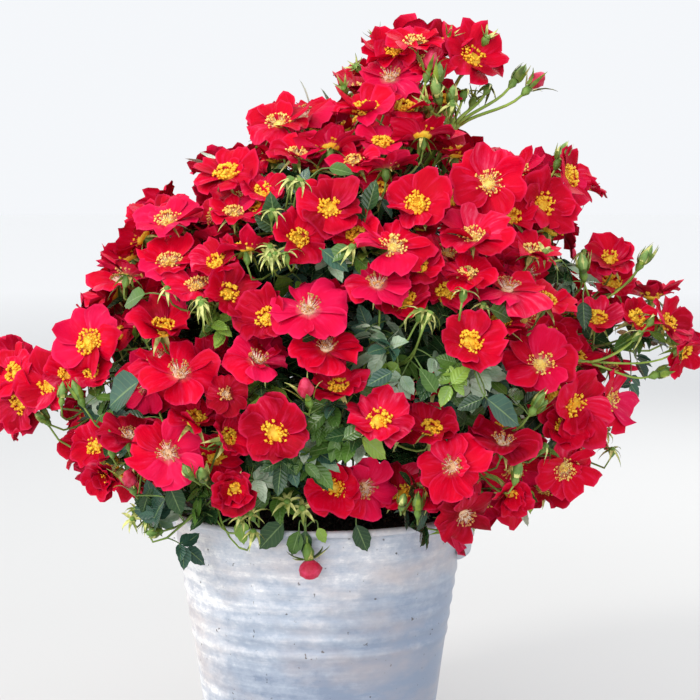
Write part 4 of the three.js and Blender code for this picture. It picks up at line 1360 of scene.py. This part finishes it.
for mass_name, mass in MASSES.items():
    toward = mass["toward"]
    reach = crown_reach(toward)
    base = CROWN_CENTRE + toward * (CORE - 1)
    stem_end = CROWN_CENTRE + toward * reach * STEM_END
    sway = rng.uniform(-5, 5, (2, 3))
    pulls = [base + (stem_end - base) * at + swayed for at, swayed in zip((0.33, 0.7), sway)]
    stem_path = arc(base, *pulls, stem_end, STEM_STEPS)
    grow("twigs", stem_path, STEM_RADII, 7)
    across = unit(np.cross(UP, toward))
    over = np.cross(toward, across)
    carried = [one for one in (*blossoms, *buds) if mass_of(one["place"]) == mass_name]
    sides = (over, across)
    carried.sort(key=lambda one: math.atan2(*((one["place"] - CROWN_CENTRE) @ side for side in sides)))
    twigs = max(1, round(len(carried) / CARRIED))
    for twig in range(twigs):
        own = carried[len(carried) * twig // twigs:len(carried) * (twig + 1) // twigs]
        at = (TWIG_FIRST + TWIG_SPAN * twig / twigs) * reach
        stem_share = (at - CORE) / (reach * STEM_END - CORE)
        start = stem_path[min(STEM_STEPS - 1, max(0, round((STEM_STEPS - 1) * stem_share)))]
        middle = sum(one["foot"] for one in own) / len(own)
        end = start + (middle - start) * 0.78
        pull = start + toward * 0.25 * np.linalg.norm(end - start)
        twig_path = arc(start, pull, end - unit(middle - CROWN_CENTRE) * 12, end, TWIG_STEPS)
        grow("twigs", twig_path, TWIG_RADII, 6)
        for i, one in enumerate(own):
            fork = min(TWIG_STEPS - 1, round((TWIG_STEPS - 1) * (FORK + FORK_STEP * i)))
            start, foot = twig_path[fork], one["foot"]
            far = np.linalg.norm(foot - start)
            leaving = start + unit(start - twig_path[fork - 1]) * 0.35 * far
            grow("stalks", arc(start, leaving, foot - one["facing"] * 0.4 * far, foot, 7), STALK_RADII, 4)

shoot_wood = np.concatenate(grown)
for shoot in shoots:
    root, foot, radius = shoot["root"], shoot["foot"], shoot["radius"]
    behind = root + unit(CROWN_CENTRE - root) * 30 + unit(root - foot) * 12
    start = shoot_wood[int(np.argmin(np.linalg.norm(shoot_wood - behind, axis=1)))]
    through = unit(unit(root - start) + unit(foot - root)) * 0.3
    near, far = np.linalg.norm(root - start), np.linalg.norm(foot - root)
    grow("shoots", arc(start, start + (root - start) * 0.4, root - through * near, root, 7),
         (radius, radius), 6)
    grow("shoots", arc(root, root + through * far, foot - shoot["facing"] * 0.3 * far, foot, 8),
         (radius * 1.05, radius * 0.8), 6)

rim_top = before_the_pot(HANGING_BUD[0] - 4, 528, 5)
low_stem = CROWN_CENTRE + MASSES["front_low"]["toward"] * 100
over_soil = low_stem + np.array((0, -20, -10))
grow("stalks", arc(low_stem, over_soil, rim_top + UP * 30, rim_top, 10), (0.9, 0.8), 5)
grow("stalks", arc(rim_top, rim_top - UP * 14, hanging["foot"] + UP * 12, hanging["foot"], 8), (0.8, 0.7), 5)

piece_of("twigs", tissue("twig_bark", (0.20, 0.17, 0.055), (0.09, 0.075, 0.03), roughness=0.7))
piece_of("stalks", tissue("stalk_green", (0.26, 0.40, 0.07), (0.15, 0.22, 0.04), size=70))
piece_of("shoots", tissue("shoot_green", (0.36, 0.50, 0.08), (0.22, 0.34, 0.045), roughness=0.45, size=70))

# Leaves sit along the twigs: five or seven toothed, glossy leaflets on a thin rib. Old ones are dark,
# those in the sun blue-green, and those on young shoots fresh green.
LEAFLET_STATIONS = np.array((0.0, 0.10, 0.24, 0.40, 0.56, 0.70, 0.82, 0.92, 1.0))
LEAFLET_HALF = np.array((0.04, 0.55, 0.90, 1.0, 0.90, 0.70, 0.44, 0.18, 0.0))
LEAFLET_TEETH = np.array((0, -0.03, 0.03, -0.04, 0.04, -0.04, 0.04, -0.02, 0))
VEIN_GREEN = (0.26, 0.38, 0.14)
# Each tint: its light and dark parts, and its share of the inner leaves, the outer ones and the leafy windows
LEAF_TINTS = {
    "leaves_dark": ((0.030, 0.085, 0.025), (0.013, 0.042, 0.016), (0.85, 0.33, 0.30)),
    "leaves_blue": ((0.050, 0.130, 0.085), (0.026, 0.072, 0.050), (0.09, 0.16, 0.19)),
    "leaves_mid": ((0.100, 0.210, 0.032), (0.050, 0.115, 0.020), (0.05, 0.24, 0.20)),
    "leaves_fresh": ((0.300, 0.460, 0.070), (0.150, 0.280, 0.035), (0.01, 0.15, 0.11)),
    # Painted highlight: pale, near-white leaflets stand in for glossy ones that catch the sun
    "leaves_painted_gleam": ((0.560, 0.660, 0.500), (0.200, 0.340, 0.200), (0, 0.12, 0.20)),
}
# Inner and outer leaves: how many, how deep and how shallow in the crown, the smallest and largest leaflet
LEAF_LAYERS = [(860, 0.42, 0.74, 18, 26), (1050, 0.74, 0.95, 15, 22)]
WINDOW_LAYER = 2
WINDOW_PIXELS = 70
WOOD_NEAR = 10
WOOD_FAR = 62
# Leaflets that show plainly: picture x and y of root and tip, tint, and extra depth
PLAIN_LEAFLETS = [
    (139, 381, 105, 407, "leaves_blue", -6), (487, 399, 521, 426, "leaves_blue", -6),
    (482, 399, 456, 409, "leaves_dark", -4), (169, 486, 183, 517, "leaves_dark", 0),
    (165, 499, 146, 526, "leaves_blue", 4), (362, 438, 390, 459, "leaves_fresh", -4),
    (344, 438, 368, 424, "leaves_mid", -4), (490, 309, 516, 318, "leaves_mid", -4),
    (329, 168, 354, 173, "leaves_mid", -6), (145, 294, 119, 304, "leaves_mid", -6),
    (583, 302, 585, 330, "leaves_dark", 0), (322, 250, 350, 270, "leaves_blue", 0),
    (348, 246, 326, 262, "leaves_mid", 0), (392, 372, 366, 386, "leaves_blue", 0),
    (436, 392, 420, 368, "leaves_mid", 0), (452, 384, 470, 364, "leaves_fresh", 0),
    (300, 340, 322, 332, "leaves_dark", 4),
]
HANGING_LEAFLETS = [
    (283, 523, 258, 550, "leaves_dark"), (299, 531, 291, 557, "leaves_mid"),
    (305, 531, 305, 557, "leaves_dark"), (356, 525, 369, 554, "leaves_dark"),
    (240, 520, 244, 545, "leaves_fresh"), (318, 528, 326, 544, "leaves_fresh"),
]
leaflet_faces = grid_faces(len(LEAFLET_STATIONS), 3, flip=True)
leaflet_along = np.repeat(LEAFLET_STATIONS, 3)
leaflet_aside = np.tile((-1.0, 0.0, 1.0), len(LEAFLET_STATIONS))
grown_points = np.concatenate(grown)


def leaflet(length, width, fold, droop, curl):
    """Root at the origin, tip along +X, upper side to +Z: three rows of points, toothed along the edges."""
    x = LEAFLET_STATIONS * length
    z = -droop * length * LEAFLET_STATIONS ** 2
    half = (LEAFLET_HALF + LEAFLET_TEETH) * width / 2
    rows = []
    for v in (-1, 0, 1):
        edge = np.abs(v) * (fold * half - curl * half * LEAFLET_STATIONS)
        teeth = np.abs(v) * LEAFLET_TEETH * length * 0.25
        rows.append(np.stack((x + teeth, v * half, z + edge), axis=-1))
    return np.stack(rows, axis=1).reshape(-1, 3)


def add_leaflet(tint, root, along, normal, length):
    side = unit(np.cross(normal, along))
    rows = np.array((along, side, np.cross(along, side)))
    width = length * rng.uniform(0.50, 0.62)
    shape = leaflet(length, width, rng.uniform(0.12, 0.6), rng.uniform(-0.02, 0.22), rng.uniform(-0.1, 0.35))
    spots = np.column_stack((leaflet_along, leaflet_aside, np.full(len(leaflet_along), rng.random())))
    heap(tint).add(root + shape @ rows, leaflet_faces, spots)


def pick_tint(layer):
    return rng.choice(list(LEAF_TINTS), p=[shares[layer] for _, _, shares in LEAF_TINTS.values()])


def add_leaf(root, target, outward, tint, size):
    """A petiole and rib from the wood, with pairs of leaflets and one at the tip."""
    toward = unit(target - root)
    normal = unit(UP * 0.75 + outward * 0.55 + rng.uniform(-1, 1, 3) * 0.42)
    side = unit(np.cross(normal, toward))
    normal = np.cross(toward, side)
    length = np.linalg.norm(target - root)
    leaving = root + toward * length * 0.4 + normal * 3
    rib = arc(root, leaving, target - toward * length * 0.3 + normal * 2, target, 6)
    grow("leaf_ribs", rib, (0.55, 0.35), 3)
    leaflets = [(target, unit(toward - normal * rng.uniform(0, 0.3)), normal, size)]
    for pair in range(2 if length < 42 else 3):
        at = rib[4 - pair] if pair < 2 else rib[2] * 0.5 + rib[1] * 0.5
        for hand in (-1, 1):
            along = unit(toward * rng.uniform(0.35, 0.65) + side * hand - normal * rng.uniform(-0.1, 0.3))
            tilted = unit(normal + rng.uniform(-1, 1, 3) * 0.22)
            leaflets.append((at, along, tilted, size * rng.uniform(0.74, 0.95) * (1 - 0.08 * pair)))
    for at, along, upper, length in leaflets:
        if not in_a_blossom(at + along * length * 0.9):
            add_leaflet(tint, at, along, upper, length)


def nearest_wood(place, near=WOOD_NEAR, far=WOOD_FAR):
    away = np.linalg.norm(grown_points - place, axis=1)
    away[away < near] = np.inf
    best = int(np.argmin(away))
    return grown_points[best] if away[best] < far else None


def fits_a_leaf(target, size):
    rel = target - CROWN_CENTRE
    far = np.linalg.norm(rel)
    tip = CROWN_CENTRE + rel * (1 + 0.8 * size / far)
    return off_the_pot(target, 10) and off_the_pot(tip, 4) and far + 0.6 * size < open_reach(rel / far) + 8


for layer, (count, deep, shallow, smallest, largest) in enumerate(LEAF_LAYERS):
    for toward in spread_round(count, 0.4 + layer):
        target = CROWN_CENTRE + toward * open_reach(toward) * rng.uniform(deep, shallow)
        target = target + rng.uniform(-6, 6, 3)
        size = rng.uniform(smallest, largest)
        root = nearest_wood(target)
        if root is None or not fits_a_leaf(target, size):
            continue
        x, y, depth = seen_at(target)
        if layer and target[1] < FRONT and hides_plain_one(x, y, depth - 14, 16):
            continue
        if layer and in_window(BARE_WINDOWS, x, y, BARE_MARGINS["leaf"]):
            continue
        if layer and in_a_blossom(target + toward * 0.5 * size):
            continue
        add_leaf(root, target, toward, pick_tint(layer), size)

for middle_x, middle_y, half_width, half_height in LEAFY_WINDOWS:
    for _ in range(max(5, round(half_width * half_height / WINDOW_PIXELS))):
        spin, out = rng.uniform(0, 2 * math.pi), math.sqrt(rng.random())
        x, y = middle_x + half_width * out * math.cos(spin), middle_y + half_height * out * math.sin(spin)
        target = on_crown(x, y, 0.96) + sight(x, y) * rng.uniform(0, 34)
        size = rng.uniform(14, 22)
        root = nearest_wood(target)
        if root is None or not off_the_pot(target, 8) or in_a_blossom(target):
            continue
        outward = unit(target - CROWN_CENTRE) - view_forward * 0.4
        add_leaf(root, target, outward, pick_tint(WINDOW_LAYER), size)

for root_x, root_y, tip_x, tip_y, tint, sunk in PLAIN_LEAFLETS:
    root = on_crown(root_x, root_y) + sight(root_x, root_y) * sunk
    tip = on_crown(tip_x, tip_y) + sight(tip_x, tip_y) * sunk
    normal = unit(UP * 0.45 - view_forward * 0.9)
    add_leaflet(tint, root, unit(tip - root), normal, np.linalg.norm(tip - root))
    start = nearest_wood(root, 4, 90)
    if start is not None:
        rib = arc(start, start + (root - start) * 0.3, root - unit(tip - root) * 8, root, 6)
        grow("leaf_ribs", rib, (0.6, 0.45), 4)

for root_x, root_y, tip_x, tip_y, tint in HANGING_LEAFLETS:
    root = before_the_pot(root_x, root_y, 8)
    tip = before_the_pot(tip_x, tip_y, 7)
    add_leaflet(tint, root, unit(tip - root), unit(UP * 0.25 - view_forward), np.linalg.norm(tip - root))
    start = nearest_wood(root, 4, 120)
    over_rim = np.array((root[0], root[1], POT_HEIGHT + 12))
    grow("leaf_ribs", arc(start, start + (over_rim - start) * 0.6, over_rim, root, 8), (0.6, 0.45), 4)


def leaf_finish(name, light, dark):
    """Leaflets are waxy above, patchy green, with a paler midrib and side veins."""
    made = Finish(name, light, 0.27, Specular_IOR_Level=0.35, Coat_Weight=0.06, Coat_Roughness=0.15)
    along, own = made.spot("X"), made.spot("Z")
    aside = made.maths("ABSOLUTE", made.spot("Y"))
    patches = made.noise((1, 1, 1), 75, detail=4) + own * 0.4
    colour = made.tinted(dark, light, patches, 0.46, 0.92)
    side_veins = made.maths("SINE", along * 44 - aside * 9)
    colour = made.tinted(colour, VEIN_GREEN, side_veins, 0.80, 1.0, 0.13)
    midrib = made.ramp(aside, [(0.02, grey(0.6)), (0.09, grey(0))])
    made.wear(Base_Color=made.mix(midrib, colour, VEIN_GREEN), Normal=made.bump(side_veins, 0.25, 0.0003))
    return made


for tint, (light, dark, _) in LEAF_TINTS.items():
    piece_of(tint, leaf_finish(f"{tint}_wax", light, dark))
piece_of("leaf_ribs", tissue("leaf_rib_green", (0.170, 0.290, 0.070), (0.110, 0.170, 0.040)))
